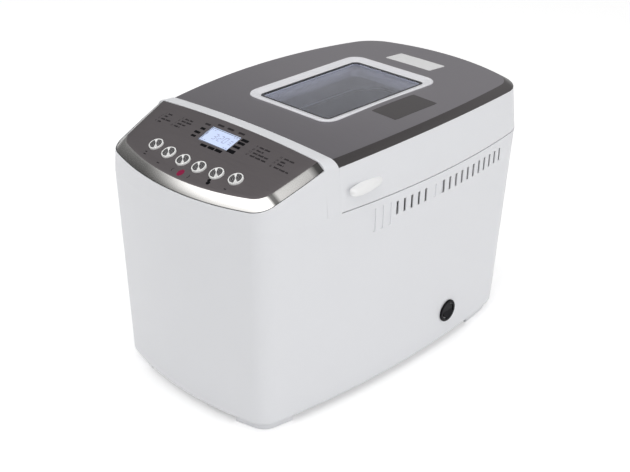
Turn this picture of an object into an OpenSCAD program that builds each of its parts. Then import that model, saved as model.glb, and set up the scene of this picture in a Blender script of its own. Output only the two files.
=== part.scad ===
// Bread machine with a long loaf chamber, two kneading paddles and a lid hinged at the rear.
// Millimetres. Z is up, the control panel faces -Y, the vents and mains switch are on the +X side.

/* [Body] */
// Widest width, at the parting line of the lid
body_width = 245.4; // [225:0.2:270]
// Length at the parting line of the lid
body_length = 380; // [350:1:420]
// How much narrower the bottom edge is than the parting line
side_taper = 17.8; // [10:0.2:24]
// How much shorter the bottom edge is than the parting line
end_taper = 20; // [10:1:30]
// How far the bottom edge sits forward of the parting line's centre
base_shift = 9; // [4:0.5:14]
// Wall thickness of the moulded body
wall = 2.6; // [2:0.1:3.5]
// Bow of the long sides at the parting line
side_bow = 23; // [10:0.5:28]
// Bow of the front at the parting line
front_bow = 23; // [10:0.5:28]
// Bow of the rear at the parting line
rear_bow = 25; // [10:0.5:30]
// Corner radius at the front
front_corner = 22; // [15:0.5:32]
// Corner radius at the rear
rear_corner = 46; // [30:1:52]
// Radius of the bottom edge
edge_radius = 5; // [3:0.5:8]
// Height of the corner feet
foot_height = 6; // [4:0.5:10]

/* [Lid] */
// Height of the lid's crest above the table
crest_height = 252.7; // [235:0.1:275]
// Height of the lid from the parting line to its crest
lid_height = 53.3; // [48:0.1:60]
// Place of the crest along the machine
crest_y = 29.5; // [0:0.5:50]
// Arch of the lid from front to rear, as a radius
arch_radius = 1786; // [1400:1:2600]
// Fall of the lid surface from its middle to its sides
lid_crown = 2.8; // [1:0.1:5]
// Place of the lid's front edge
seam_y = -92.8; // [-98:0.1:-90]
// How far the ends of the front edge lie forward of its middle
seam_bow = 2.7; // [0:0.1:6]
// Gap round the lid
lid_gap = 0.7; // [0.4:0.1:1.2]
// Draft of the lid's side walls, as width per height
lid_draft = 0.075; // [0.03:0.005:0.1]
// Thickness of the metal cover plates
plate_t = 1.2; // [0.8:0.1:1.6]
// Width of the lid plate's bevel
lid_bevel = 7.6; // [5:0.1:9]
// Height of the lid plate's bevel
lid_bevel_h = 4.6; // [3:0.1:6]
// Length of the side grips
grip_length = 39; // [30:1:50]
// How far the side grips stand out
grip_depth = 7; // [5:0.5:9]

/* [Window] */
// Half of the window frame's width
window_half_x = 55.9; // [48:0.1:60]
// Half of the window frame's length
window_half_y = 75.6; // [70:0.1:84]
// Place of the window's centre
window_y = 24.5; // [15:0.5:30]
// Corner radius of the window frame
window_corner = 14; // [12:0.5:18]
// Thickness of the glass
glass_t = 3; // [2:0.1:3.4]

/* [Control panel] */
// Place of the panel's rear edge
panel_back = -107.3; // [-112:0.1:-104]
// How far the panel's rear edge lies below the lid's crest
panel_step = 2.3; // [1:0.1:5]
// Slope of the panel in degrees
panel_slope = 20; // [14:0.5:24]
// Fall of the panel from its middle to its sides
panel_crown = 2.4; // [0:0.1:4]
// Width of the panel's bevel
panel_bevel = 6.8; // [4:0.1:8]
// Height of the panel's bevel
panel_bevel_h = 5; // [4:0.1:7]
// Corner radius of the panel plate where its skirt meets its top
panel_corner = 20; // [14:0.5:24]
// Width of the body's rim round the panel
panel_rim = 1.1; // [0.6:0.1:2]
// Distance between buttons
button_pitch = 21.6; // [19:0.1:24]
// Place of the middle of the button row
button_y = -161.8; // [-165:0.1:-156]
// How far the ends of the button row lie rearward of its middle
button_bow = 4.4; // [0:0.1:6]
// Radius of a button
button_r = 7.4; // [6:0.1:8.5]
// Travel of a button
button_travel = 1; // [0.5:0.1:1.4]
// Place of the display across the panel, from the middle plane
lcd_x = -2.8; // [-6:0.1:6]
// Half of the display's width
lcd_half_x = 19.4; // [16:0.1:24]
// Half of the display's depth along the panel
lcd_half_y = 9.8; // [8:0.1:12]
// Place of the display's centre
lcd_y = -126.8; // [-132:0.1:-124]

/* [Vents] */
// Open slots in the front group
slots_front = 5; // [3:1:6]
// Open slots in the rear group
slots_rear = 11; // [7:1:12]
// Distance between slots
slot_pitch = 9.35; // [8:0.05:9.6]
// Height of a slot
slot_height = 12.6; // [9:0.1:14]
// Width of a slot
slot_width = 2.4; // [1.6:0.1:3.4]
// How far the middle of the slots lies below the parting line
slot_drop = 15.2; // [13.4:0.1:22]
// Place of the first slot
slot_y = -30; // [-34:0.5:-26]

/* [Chamber] */
// Width of the heating chamber
chamber_width = 156; // [150:1:160]
// Length of the heating chamber
chamber_length = 228; // [224:1:232]
// Place of the chamber's centre
chamber_y = 31; // [30:0.5:33]
// Height of the chamber floor above the table
chamber_floor = 47; // [44:0.5:49]
// Corner radius of the chamber
chamber_corner = 26; // [22:1:30]

/* [Pan] */
// Width of the pan at its rim
pan_width = 136; // [130:1:140]
// Length of the pan at its rim
pan_length = 208; // [202:1:210]
// How much narrower the pan's floor is than its rim
pan_taper = 9; // [6:0.5:12]
// Height of the pan's underside above the chamber floor
pan_lift = 15; // [14.5:0.5:17]
// How far the rim of the pan lies below the parting line
rim_drop = 21.4; // [16:0.1:36]
// Thickness of the pan
pan_t = 1.6; // [1:0.1:2.2]
// Reach of the carrying handle above its pivots
bail_reach = 44; // [38:0.5:46]
// Radius of the handle wire
bail_r = 2.2; // [1.8:0.1:2.6]

/* [Drive] */
// Distance between the paddle shafts
shaft_pitch = 108; // [100:1:112]
// Radius of the drive shafts
shaft_r = 5; // [4:0.1:6]
// Radius of the motor shaft
motor_shaft_r = 4; // [3.5:0.1:5]
// Radius of the pan shafts
pan_shaft_r = 4; // [3.5:0.1:4.5]
// Running clearance of the shafts
run_gap = 0.05; // [0.03:0.01:0.08]
// Radius of the large pulleys
pulley_r = 40; // [36:0.5:44]
// Radius of the motor pulley
motor_pulley_r = 10; // [8:0.5:12]
// Thickness of the belt
belt_t = 1.8; // [1.2:0.1:2.4]
// Height of the belt's lower edge
belt_z = 14; // [13:0.5:15]
// Width of the belt
belt_w = 8; // [6:0.5:9]
// Place of the motor
motor_y = -136; // [-139:0.5:-133]
// Radius of the motor
motor_r = 34; // [30:0.5:36]
// Length of the motor's can between its end caps
motor_can = 44; // [36:0.5:50]
// Length of the paddle blades from their axis
paddle_reach = 40; // [34:0.5:43]

/* [Mains switch] */
// Place of the switch along the side
switch_y = 55.5; // [45:0.5:70]
// Height of the switch above the table
switch_z = 39.5; // [34:0.5:50]
// Radius of the switch bezel
switch_r = 11.5; // [10.5:0.1:12.5]
// Swing of the rocker in degrees
rocker_swing = 16; // [10:1:18]

/* [Hinge] */
// Distance of each hinge from the middle
hinge_x = 63; // [55:1:70]
// Distance of the hinge axis behind the body
hinge_back = 0.6; // [0.4:0.1:4]
// Height of the hinge axis above the parting line
hinge_up = 1; // [0.6:0.1:1.6]
// Radius of the hinge knuckles
knuckle_r = 3.8; // [3.4:0.1:6]
// Radius of the hinge pins
pin_r = 1.8; // [1.4:0.1:3]

/* [Hidden] */
$fn = 64;
half_w = body_width / 2;
half_l = body_length / 2;
parting_height = crest_height - lid_height;
panel_back_height = crest_height - panel_step;
base_width = body_width - side_taper;
base_length = body_length - end_taper;
slot_z = parting_height - slot_drop;
base_front = -base_shift - base_length / 2;
base_rear = base_length / 2 - base_shift;
crown_half = 110;
// The bows at the bottom edge are a little flatter than at the parting line
base_side_bow = side_bow * 0.8;
base_front_bow = front_bow * 0.83;
base_rear_bow = rear_bow * 0.84;
base_rear_corner = rear_corner * 0.78;
// The sloping inner faces of the cover plates, set in by their own thickness
skirt_t = plate_t * 1.35;
deck_t = wall;
hinge_y = half_l + hinge_back;
hinge_z = parting_height + hinge_up;
panel_rise = tan(panel_slope);
ear_w = 6;
knuckle_w = 9.2;
side_gap = 0.4;
pan_z = chamber_floor + pan_lift;
rim_z = parting_height - rim_drop;
far = 260;
liner_z = rim_z + bail_reach + bail_r + 8;
board_drop = 14;
board_t = 1.6;
floor_t = 2.2;
sheet_t = 1;
tube_r = 3.2;

// ---------- plan curves ----------

function bow_r(half, sag) = (half * half + sag * sag) / (2 * sag);
function aim(c, p) = atan2(p[1] - c[1], p[0] - c[0]);
function arc(c, r, a0, a1, n) = [for (i = [0:n]) c + r * [cos(a0 + (a1 - a0) * i / n),
  sin(a0 + (a1 - a0) * i / n)]];
function tail(v) = [for (i = [1:len(v) - 1]) v[i]];

// Centre at distance r1 from c1 and r2 from c2, on the side of the wanted point
function meet(c1, r1, c2, r2, want) =
  let (d = c2 - c1, l = norm(d), a = (r1 * r1 - r2 * r2 + l * l) / (2 * l), h = sqrt(max(0,
    r1 * r1 - a * a)),
       m = c1 + d * a / l, q = [-d[1], d[0]] / l, p1 = m + h * q, p2 = m - h * q)
  norm(p1 - want) < norm(p2 - want) ? p1 : p2;

// Closed plan outline of four bowed sides and two pairs of tangent corner arcs
function outline(hw, yf, yr, sf, sr, ss, rf, rr) =
  let (l = (yr - yf) / 2, yc = (yr + yf) / 2, big_s = bow_r(l, ss), big_f = bow_r(hw, sf),
    big_r = bow_r(hw, sr),
       cs = [hw - big_s, yc], cf = [0, yf + big_f], cr = [0, yr - big_r],
       kf = meet(cs, big_s - rf, cf, big_f - rf, [hw - rf, yf + rf]),
       kr = meet(cs, big_s - rr, cr, big_r - rr, [hw - rr, yr - rr]),
       half = concat(arc(cf, big_f, -90, aim(cf, kf), 4), tail(arc(kf, rf, aim(cf, kf), aim(cs, kf), 5)),
         tail(arc(cs, big_s, aim(cs, kf), aim(cs, kr), 7)), tail(arc(kr, rr, aim(cs, kr), aim(cr, kr), 5)),
         tail(arc(cr, big_r, aim(cr, kr), 90, 4))))
  concat(half, [for (i = [len(half) - 2:-1:1]) [-half[i][0], half[i][1]]]);

function mid_outline(k) = outline(half_w - k, -half_l + k, half_l - k, front_bow, rear_bow, side_bow,
  max(front_corner - k, 3), rear_corner - k);
function low_outline(k) = outline(base_width / 2 - k, base_front + k, base_rear - k, base_front_bow,
  base_rear_bow,
  base_side_bow, max(front_corner - k, 3), base_rear_corner - k);

mid0 = mid_outline(0);
mid_in = (mid_outline(12) - mid0) / 12;
low0 = low_outline(0);
low_in = (low_outline(12) - low0) / 12;
// The panel plate keeps a rounder corner than the body round it
panel_in = (outline(half_w - 12, -half_l + 12, half_l - 12, front_bow, rear_bow, side_bow,
  max(front_corner + (panel_corner - front_corner) * 12 / (panel_rim + panel_bevel), 3),
    rear_corner - 12) - mid0) / 12;
function inset_mid(k) = mid0 + mid_in * k;
function inset_low(k) = low0 + low_in * k;
function flat_ring(pts, z) = [for (p = pts) [p[0], p[1], z]];
function shrink(pts, s, y0) = [for (p = pts) [p[0] * s, y0 + (p[1] - y0) * s]];

// Height of the outer wall on the side at a place along it
function side_x(y, z) =
  let (t = (z - foot_height) / (parting_height - foot_height),
       xt = half_w - side_bow * pow(y / half_l, 2),
       xb = base_width / 2 - base_side_bow * pow((y + base_shift) / (base_length / 2), 2))
  z > parting_height ? xt - lid_draft * (z - parting_height) : xb + (xt - xb) * t;
side_lean = atan((half_w - base_width / 2) / (parting_height - foot_height));
function side_yaw(y) = atan(2 * side_bow * y / (half_l * half_l));

// ---------- top surfaces ----------

function lid_z(x, y) = crest_height - pow(y - crest_y,
  2) / (2 * arch_radius) - lid_crown * pow(x / crown_half, 2);
function panel_z(x, y) =
  panel_back_height + panel_rise * (y - panel_back) - panel_crown * pow(x / crown_half, 2);
seam_z = lid_z(0, seam_y);
function strip_z(x, y) = seam_z + (panel_back_height - seam_z) * (y - seam_y) / (panel_back - seam_y)
  - (lid_crown + panel_crown) / 2 * pow(x / crown_half, 2);
function surf(kind, x, y) = kind == "lid" ? lid_z(x, y) : kind == "panel" ? panel_z(x, y) : strip_z(x, y);

// Ring that follows a top surface: inset from the parting line by the draft plus k, and drop below it
function draft_ring(kind, k, drop) =
  [for (i = [0:len(mid0) - 1])
    let (h = surf(kind, mid0[i][0], mid0[i][1]) - drop - parting_height,
         p = mid0[i] + mid_in[i] * lid_draft * h + (kind == "panel" ? panel_in : mid_in)[i] * k)
    [p[0], p[1], surf(kind, p[0], p[1]) - drop]];
function inner_ring(kind, k, drop, s, y0) =
  [for (q = draft_ring(kind, k, drop)) let (x = q[0] * s, y = y0 + (q[1] - y0) * s) [x, y, surf(kind, x,
    y) - drop]];

// ---------- builders ----------

// Solid through rings of equal count, closed by its first and last rings.
// The first turned bands take the other diagonal, as the seat that they rest on does.
module skin(rings, turned = 0) {
  n = len(rings[0]);
  m = len(rings);
  polyhedron(points = [for (r = rings) for (p = r) p],
    faces = concat([[for (i = [0:n - 1]) i]], [[for (i = [n - 1:-1:0]) (m - 1) * n + i]],
      [for (k = [0:m - 2]) for (i = [0:n - 1])
        let (a = k * n, b = a + n, j = (i + 1) % n)
          k < turned ? [a + i, b + i, a + j] : [a + i, b + i, b + j]],
      [for (k = [0:m - 2]) for (i = [0:n - 1])
        let (a = k * n, b = a + n, j = (i + 1) % n)
          k < turned ? [b + i, b + j, a + j] : [a + i, b + j, a + j]]),
    convexity = 8);
}

// Closed frame through rings of equal count
module loop_skin(rings) {
  n = len(rings[0]);
  m = len(rings);
  polyhedron(points = [for (r = rings) for (p = r) p],
    faces = concat(
      [for (k = [0:m - 1]) for (i = [0:n - 1]) let (j = (i + 1) % n, u = (k + 1) % m) [k * n + i,
        u * n + i, u * n + j]],
      [for (k = [0:m - 1]) for (i = [0:n - 1]) let (j = (i + 1) % n, u = (k + 1) % m) [k * n + i,
        u * n + j, k * n + j]]),
    convexity = 8);
}

// Rounded rectangle: n steps round each corner and, on each side, m points between the corners
function rrect(hx, hy, r, n, cy, m = 0) =
  [for (c = [0:3])
    let (sx = (c == 0 || c == 3) ? 1 : -1, sy = c < 2 ? 1 : -1,
         q = [sx * (hx - r), cy + sy * (hy - r)], a = [cos(c * 90 + 90), sin(c * 90 + 90)] * r,
         next = c % 2 == 0 ? [-q[0], q[1]] : [q[0], 2 * cy - q[1]])
    each concat([for (i = [0:n]) q + r * [cos(c * 90 + i * 90 / n), sin(c * 90 + i * 90 / n)]],
      [for (i = [1:1:m]) q + a + (next - q) * i / (m + 1)])];

module rounded(hx, hy, r, h) {
  linear_extrude(height = h) {
    union() {
      square([2 * (hx - r), 2 * hy], center = true);
      square([2 * hx, 2 * (hy - r)], center = true);
      for (sx = [-1, 1], sy = [-1, 1]) translate([sx * (hx - r), sy * (hy - r)]) circle(r = r);
    }
  }
}

// Front edge curve of the lid and rear edge curve of the panel
seam_reach = half_w + 28;
function seam_curve(y0) = [for (i = [0:12]) let (x = seam_reach * (i / 6 - 1)) [x,
  y0 - seam_bow * pow(x / crown_half, 2)]];
module behind(y0, z0) {
  translate([0, 0, z0])
    linear_extrude(height = far) polygon(concat(seam_curve(y0), [[seam_reach, far], [-seam_reach, far]]));
}
module ahead(y0, z0) {
  translate([0, 0, z0])
    linear_extrude(height = far)
      polygon(concat([[-seam_reach, -far], [seam_reach, -far]], [for (i = [12:-1:0]) seam_curve(y0)[i]]));
}

module on_panel(x, y, drop) {
  translate([x, y, panel_z(x, y)]) rotate([panel_slope, 0, 0]) translate([0, 0, -drop]) children();
}
// Place on the flat board under the panel
module on_board(x, y, drop) {
  translate([x, y, panel_z(0, y)]) rotate([panel_slope, 0, 0]) translate([0, 0, -drop]) children();
}
module on_side(y, z) {
  translate([side_x(y, z), y, z]) rotate([0, 0, side_yaw(y)]) rotate([0, 90 + side_lean, 0]) children();
}
function button_place(i) = let (x = (i - 3.5) * button_pitch) [x,
  button_y + button_bow * pow(x / (2.5 * button_pitch), 2)];

// ---------- body ----------

// Body below the parting line, inset by k all round
module body_form(k, z_low, z_high) {
  ring_a = [for (i = [0:len(mid0) - 1]) let (p = mid0[i] + mid_in[i] * k, q = low0[i] + low_in[i] * k,
    t = (z_high - foot_height) / (parting_height - foot_height)) [q[0] + (p[0] - q[0]) * t,
      q[1] + (p[1] - q[1]) * t, z_high]];
  skin(concat(
    z_low < foot_height ? [flat_ring(inset_low(k + edge_radius), z_low)] : [],
    [flat_ring(inset_low(k + edge_radius), foot_height),
    flat_ring(inset_low(k + edge_radius * 0.3), foot_height + edge_radius * 0.3),
    flat_ring(inset_low(k), foot_height + edge_radius), ring_a]));
}

// Part of the top that follows one of the surfaces, from the parting line up to the seat of its plate
module top_form(kind, k, z_low, seat, rim, bevel, bevel_h) {
  base = flat_ring(inset_mid(k), z_low);
  edge = draft_ring(kind, k, bevel_h + (k > 0 ? 1 : 0));
  step = draft_ring(kind, k + rim + (seat > 0 ? skirt_t : 0), bevel_h + (k > 0 ? 1 : 0));
  inner = k + rim + bevel * (bevel_h - seat) / bevel_h + (seat > 0 ? skirt_t : 0);
  down = seat + (k > 0 ? deck_t : 0);
  skin(concat([base, edge],
    rim > 0 && seat > 0 ? [draft_ring(kind, k + rim, bevel_h + (k > 0 ? 1 : 0))] : [],
    rim + seat > 0 ? [step] : [],
    [draft_ring(kind, inner, down)], [for (f = top_steps) inner_ring(kind, inner, down, f,
      crest_place(kind))]));
}

top_steps = [0.78, 0.52, 0.26, 0.01];
function crest_place(kind) = kind == "lid" ? window_y : panel_back - 40;

module side_slots(side) {
  for (i = [0:slots_front - 1]) side_slot(side, slot_y + i * slot_pitch, slot_z, slot_height, slot_width,
    wall * 2);
  for (i = [0:slots_rear - 1])
    side_slot(side, slot_y + (slots_front + 1.75 + i) * slot_pitch, slot_z, slot_height, slot_width,
      wall * 2);
  for (i = [0:1]) side_slot(side, slot_y + (slots_front + 0.4 + i) * slot_pitch, slot_z, slot_height,
    slot_width, 0.5);
  for (i = [1:3]) side_slot(side, slot_y - i * slot_pitch, slot_z - 3, slot_height * 1.7, slot_width, 0.5);
}
module side_slot(side, y, z, h, w, deep) {
  mirror([side < 0 ? 1 : 0, 0, 0]) on_side(y, z) cube([h, w, deep * 2], center = true);
}

// Ear of the base that carries a hinge pin
module base_ear(x0) {
  translate([x0, hinge_y, hinge_z]) rotate([0, 90, 0]) cylinder(r = knuckle_r + 0.3, h = ear_w);
  translate([x0, half_l - rear_bow * 0.42, hinge_z - 16])
    cube([ear_w, hinge_back + rear_bow * 0.42, 16 - hinge_up]);
}

module base_shell() {
  color([0.93, 0.93, 0.94])
  difference() {
    union() {
      body_form(0, foot_height, parting_height);
      intersection() {
        top_form("panel", 0, parting_height, plate_t, panel_rim, panel_bevel, panel_bevel_h);
        ahead(panel_back, parting_height);
      }
      intersection() {
        top_form("strip", 0, parting_height, 0, panel_rim, panel_bevel, panel_bevel_h);
        ahead(seam_y, parting_height);
        behind(panel_back, parting_height);
      }
      for (s = [-1, 1]) {
        base_ear(s * hinge_x - knuckle_w / 2 - side_gap - ear_w);
        base_ear(s * hinge_x + knuckle_w / 2 + side_gap);
      }
    }
    difference() {
      body_form(wall, -1, parting_height - deck_t);
      screw_bosses();
      deck_ribs();
    }
    intersection() {
      top_form("panel", wall, parting_height - deck_t - 1, plate_t, panel_rim, panel_bevel, panel_bevel_h);
      ahead(panel_back - 0.2, parting_height - deck_t - 1);
    }
    intersection() {
      top_form("strip", wall, parting_height - deck_t - 1, 0, panel_rim, panel_bevel, panel_bevel_h);
      ahead(seam_y - wall, parting_height - deck_t - 1);
      behind(panel_back - 0.4, parting_height - deck_t - 1);
    }
    translate([0, chamber_y, parting_height - deck_t - 1])
      rounded(chamber_width / 2 + sheet_t + side_gap, chamber_length / 2 + sheet_t + side_gap,
        chamber_corner, deck_t + 2);
    translate([0, chamber_y, parting_height - sheet_t])
      rounded(chamber_width / 2 + 5, chamber_length / 2 + 5, chamber_corner + 5, deck_t);
    side_slots(1);
    side_slots(-1);
    on_side(switch_y, switch_z) cylinder(r = switch_r - 1.4, h = wall * 4, center = true);
    for (i = [1:6]) on_panel(button_place(i)[0], button_place(i)[1], 8)
      cylinder(r = button_r + side_gap, h = 20);
    on_panel(lcd_x, lcd_y, 8) translate([-lcd_half_x - 1, -lcd_half_y - 1, 0])
      cube([2 * lcd_half_x + 2, 2 * lcd_half_y + 2, 20]);
    for (s = [-1, 1]) hinge_bore(s);
    base_screw_bores();
  }
  color([0.93, 0.93, 0.94]) board_bosses();
}
module hinge_bore(s) {
  translate([s * hinge_x, hinge_y, hinge_z]) rotate([0, 90, 0])
    cylinder(r = pin_r, h = knuckle_w + 2 * ear_w + 4, center = true);
}
// Ribs under the deck beside the chamber, each between two slots
rib_y = [-60, for (t = [0.5, 4.25, 10.25]) slot_y + (slots_front + t) * slot_pitch];
module deck_ribs() {
  for (s = [-1, 1], y = rib_y)
    translate([s > 0 ? chamber_width / 2 + 10 : -half_w - 4, y - 1.2, parting_height - 40])
      cube([half_w - chamber_width / 2 - 6, 2.4, 60]);
}
screw_y = [-140, 20, 130];
boss_in = 23.5;
boss_h = 34;
module screw_bosses() {
  for (s = [-1, 1], y = screw_y) {
    translate([s * (side_x(y, foot_height) - boss_in), y, foot_height + floor_t])
      cylinder(r = 5, h = boss_h);
    mirror([s < 0 ? 1 : 0, 0, 0])
      translate([side_x(y, foot_height) - boss_in, y - 1.2, foot_height + floor_t])
        cube([boss_in + 8, 2.4, boss_h]);
  }
}
module base_screw_bores() {
  for (s = [-1, 1], y = screw_y)
    translate([s * (side_x(y, foot_height) - boss_in), y, foot_height]) cylinder(r = 1.6, h = 22);
}

module base_plate() {
  color([0.62, 0.63, 0.65])
  difference() {
    translate([0, 0, foot_height])
      linear_extrude(height = floor_t) polygon(inset_low(edge_radius + wall + 0.2));
    for (s = [-1, 1], y = screw_y)
      translate([s * (side_x(y, foot_height) - boss_in), y, foot_height - 1])
        cylinder(r = 1.9, h = floor_t + 2);
    for (s = [-1, 1], i = [0:7])
      translate([s * 55 - 20, chamber_y - 56 + i * 16, foot_height - 1]) cube([40, 4, floor_t + 2]);
  }
}

module base_screws() {
  color([0.5, 0.5, 0.52])
  for (s = [-1, 1], y = screw_y)
    translate([s * (side_x(y, foot_height) - boss_in), y, foot_height - 1.8]) {
      cylinder(r = 3.2, h = 1.8);
      cylinder(r = 1.6, h = 18);
    }
}

module feet() {
  color([0.9, 0.9, 0.9])
  intersection() {
    difference() {
      linear_extrude(height = foot_height) polygon(inset_low(edge_radius + 0.4));
      translate([0, 0, -1]) linear_extrude(height = foot_height + 2) polygon(inset_low(edge_radius + 11));
    }
    union() {
      for (s = [-1, 1]) {
        translate([s > 0 ? base_width / 2 - 50 : -base_width / 2, base_front, -1])
          cube([50, 62, foot_height + 2]);
        translate([s > 0 ? base_width / 2 - 60 : -base_width / 2, base_rear - 68, -1])
          cube([60, 68, foot_height + 2]);
      }
    }
  }
}

// ---------- control panel ----------

module control_panel() {
  color([0.42, 0.41, 0.42])
  difference() {
    intersection() {
      plate_skin("panel", panel_rim, panel_bevel, panel_bevel_h, crest_place("panel"));
      ahead(panel_back - 0.3, parting_height);
    }
    for (i = [1:6]) on_panel(button_place(i)[0], button_place(i)[1], 6)
      cylinder(r = button_r + side_gap, h = 16);
    on_panel(lcd_x, lcd_y, 6) translate([-lcd_half_x, -lcd_half_y, 0])
      cube([2 * lcd_half_x, 2 * lcd_half_y, 16]);
  }
}

// Pressed sheet plate with a sloping skirt
module plate_skin(kind, rim, bevel, bevel_h, y0) {
  inner = rim + skirt_t + bevel * (bevel_h - plate_t) / bevel_h;
  skin(concat([for (i = [len(top_steps) - 1:-1:0]) inner_ring(kind, inner, plate_t, top_steps[i], y0)],
    [draft_ring(kind, inner, plate_t), draft_ring(kind, rim + skirt_t, bevel_h), draft_ring(kind, rim,
      bevel_h),
    draft_ring(kind, rim + bevel, 0)], [for (f = top_steps) inner_ring(kind, rim + bevel, 0, f, y0)]),
    turned = len(top_steps) + 2);
}

module lcd_window() {
  color([0.75, 0.82, 0.9])
  on_panel(lcd_x, lcd_y, plate_t)
    translate([-lcd_half_x + 0.2, -lcd_half_y + 0.2, 0])
      cube([2 * lcd_half_x - 0.4, 2 * lcd_half_y - 0.4, plate_t * 0.8]);
}

module lcd_module() {
  color([0.2, 0.25, 0.22])
  on_panel(lcd_x, lcd_y, board_drop - board_t) {
    translate([-lcd_half_x + 0.2, -lcd_half_y + 0.2, 0])
      cube([2 * lcd_half_x - 0.4, 2 * lcd_half_y - 0.4, board_drop - board_t - plate_t]);
  }
}

module button(i) {
  p = button_place(i);
  flange_top = -plate_t - deck_t - 0.3;
  color([0.92, 0.92, 0.92])
  on_panel(p[0], p[1], 0)
    rotate_extrude() polygon([[0, -board_drop + board_t + 4.2 + button_travel], [2.4,
      -board_drop + board_t + 4.2 + button_travel],
      [2.4, flange_top - 1.3], [button_r + 1.4, flange_top - 1.3], [button_r + 1.4, flange_top],
        [button_r, flange_top],
      [button_r, 1.1],
      [button_r - 0.5, 1.6], [button_r - 1.9, 1.6], [button_r - 2.1, 1.3], [0, 1.3]]);
}
module button_1() { button(1); }
module button_2() { button(2); }
module button_3() { button(3); }
module button_4() { button(4); }
module button_5() { button(5); }
module button_6() { button(6); }

// Posts under the panel deck that carry the control board
board_side_room = 38.7;
board_x = half_w - board_side_room;
board_y = [-161, -121];
board_half_y = 29;
board_corner = 14;
board_edge = 6;
boss_grip = 1.2;
module board_bosses() {
  for (s = [-1, 1], y = board_y) {
    difference() {
      on_board(s * board_x, y, board_drop - board_t)
        cylinder(r = 3.4,
          h = board_drop - board_t - plate_t - deck_t - panel_crown * pow(board_x / crown_half, 2)
          + boss_grip);
      on_board(s * board_x, y, board_drop - board_t + 1) cylinder(r = 1.2, h = 7);
    }
  }
}

module control_board() {
  color([0.1, 0.35, 0.2])
  difference() {
    union() {
      on_board(0, (board_y[0] + board_y[1]) / 2, board_drop)
        rounded(board_x + board_edge, board_half_y, board_corner, board_t);
      for (i = [1:6]) on_panel(button_place(i)[0], button_place(i)[1], board_drop - board_t) {
        translate([-3, -3, -1]) cube([6, 6, 4.4]);
        cylinder(r = 1.6, h = 4);
      }
    }
    for (s = [-1, 1], y = board_y) on_board(s * board_x, y, board_drop + 3) cylinder(r = 1.5, h = 6);
  }
}

module board_screws() {
  color([0.6, 0.6, 0.62])
  for (s = [-1, 1], y = board_y) on_board(s * board_x, y, board_drop + 1.6) {
    cylinder(r = 2.6, h = 1.6);
    cylinder(r = 1.2, h = 8);
  }
}

// ---------- electrics in the base ----------

power_x = -72;
power_y = -100;
power_z = 20;
power_half_x = 22;
power_half_y = 28;
post_in = 4;
relay_h = 15;
coil_h = 12;
can_r = 7;
can_h = 22;
module board_posts() {
  color([0.85, 0.85, 0.86])
  for (sx = [-1, 1], sy = [-1, 1])
    translate([power_x + sx * (power_half_x - post_in), power_y + sy * (power_half_y - post_in),
      foot_height + floor_t])
      cylinder(r = 3, h = power_z - foot_height - floor_t);
}
module power_board() {
  color([0.12, 0.36, 0.22]) {
    translate([power_x - power_half_x, power_y - power_half_y, power_z])
      cube([2 * power_half_x, 2 * power_half_y, board_t]);
    translate([power_x - power_half_x + 2, power_y - power_half_y + 6, power_z + board_t])
      cube([power_half_x - 6, power_half_y - 8, relay_h]);
    translate([power_x + 2, power_y - power_half_y + 6, power_z + board_t])
      cube([power_half_x - 8, power_half_y - 2, coil_h]);
    translate([power_x - power_half_x / 2 - 1, power_y + power_half_y / 2, power_z + board_t])
      cylinder(r = can_r, h = can_h);
    translate([power_x + power_half_x / 2 - 1, power_y + power_half_y / 2 + 2, power_z + board_t])
      cylinder(r = can_r * 0.7, h = can_h * 0.7);
  }
}

// ---------- chamber ----------

module chamber() {
  color([0.72, 0.73, 0.74])
  difference() {
    union() {
      translate([0, chamber_y, chamber_floor - sheet_t])
        rounded(chamber_width / 2 + sheet_t, chamber_length / 2 + sheet_t, chamber_corner,
          parting_height - chamber_floor + sheet_t);
      translate([0, chamber_y, parting_height - sheet_t])
        rounded(chamber_width / 2 + 4.6, chamber_length / 2 + 4.6, chamber_corner + 4.6, sheet_t);
    }
    translate([0, chamber_y, chamber_floor])
      rounded(chamber_width / 2, chamber_length / 2, chamber_corner - sheet_t, parting_height);
    for (s = [-1, 1]) translate([0, chamber_y + s * shaft_pitch / 2, chamber_floor - 4])
      cylinder(r = bearing_r + bearing_gap, h = 8);
    for (s = [-1, 1]) translate([s * element_gap, chamber_y - chamber_length / 2, element_z])
      rotate([90, 0, 0]) cylinder(r = tube_r + 0.5, h = 8, center = true);
    translate([sensor_x, chamber_y - chamber_length / 2, sensor_z]) rotate([90, 0, 0])
      cylinder(r = 3.3, h = 8, center = true);
  }
}

module pan_seat() {
  color([0.66, 0.67, 0.68])
  translate([0, chamber_y, chamber_floor])
    difference() {
      rounded(pan_width / 2 - 14, pan_length / 2 - 12, 20, pan_lift);
      translate([0, 0, -1]) rounded(pan_width / 2 - 16, pan_length / 2 - 14, 18, pan_lift + 2);
      for (s = [-1, 1]) translate([-60, s * 40 - 12, 4]) cube([120, 24, pan_lift - 8]);
    }
}

module pan_clips() {
  color([0.7, 0.71, 0.72])
  for (s = [-1, 1]) mirror([s < 0 ? 1 : 0, 0, 0])
    translate([pan_width / 2 - pan_taper / 2 + 1, chamber_y, chamber_floor])
      rotate([90, 0, 0]) linear_extrude(height = 22, center = true)
        polygon([[-6, 0], [1, 0], [1, pan_lift + 6], [0, pan_lift + 8], [-0.8, pan_lift + 8], [0,
          pan_lift + 6], [0, 1], [-6, 1]]);
}

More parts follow.
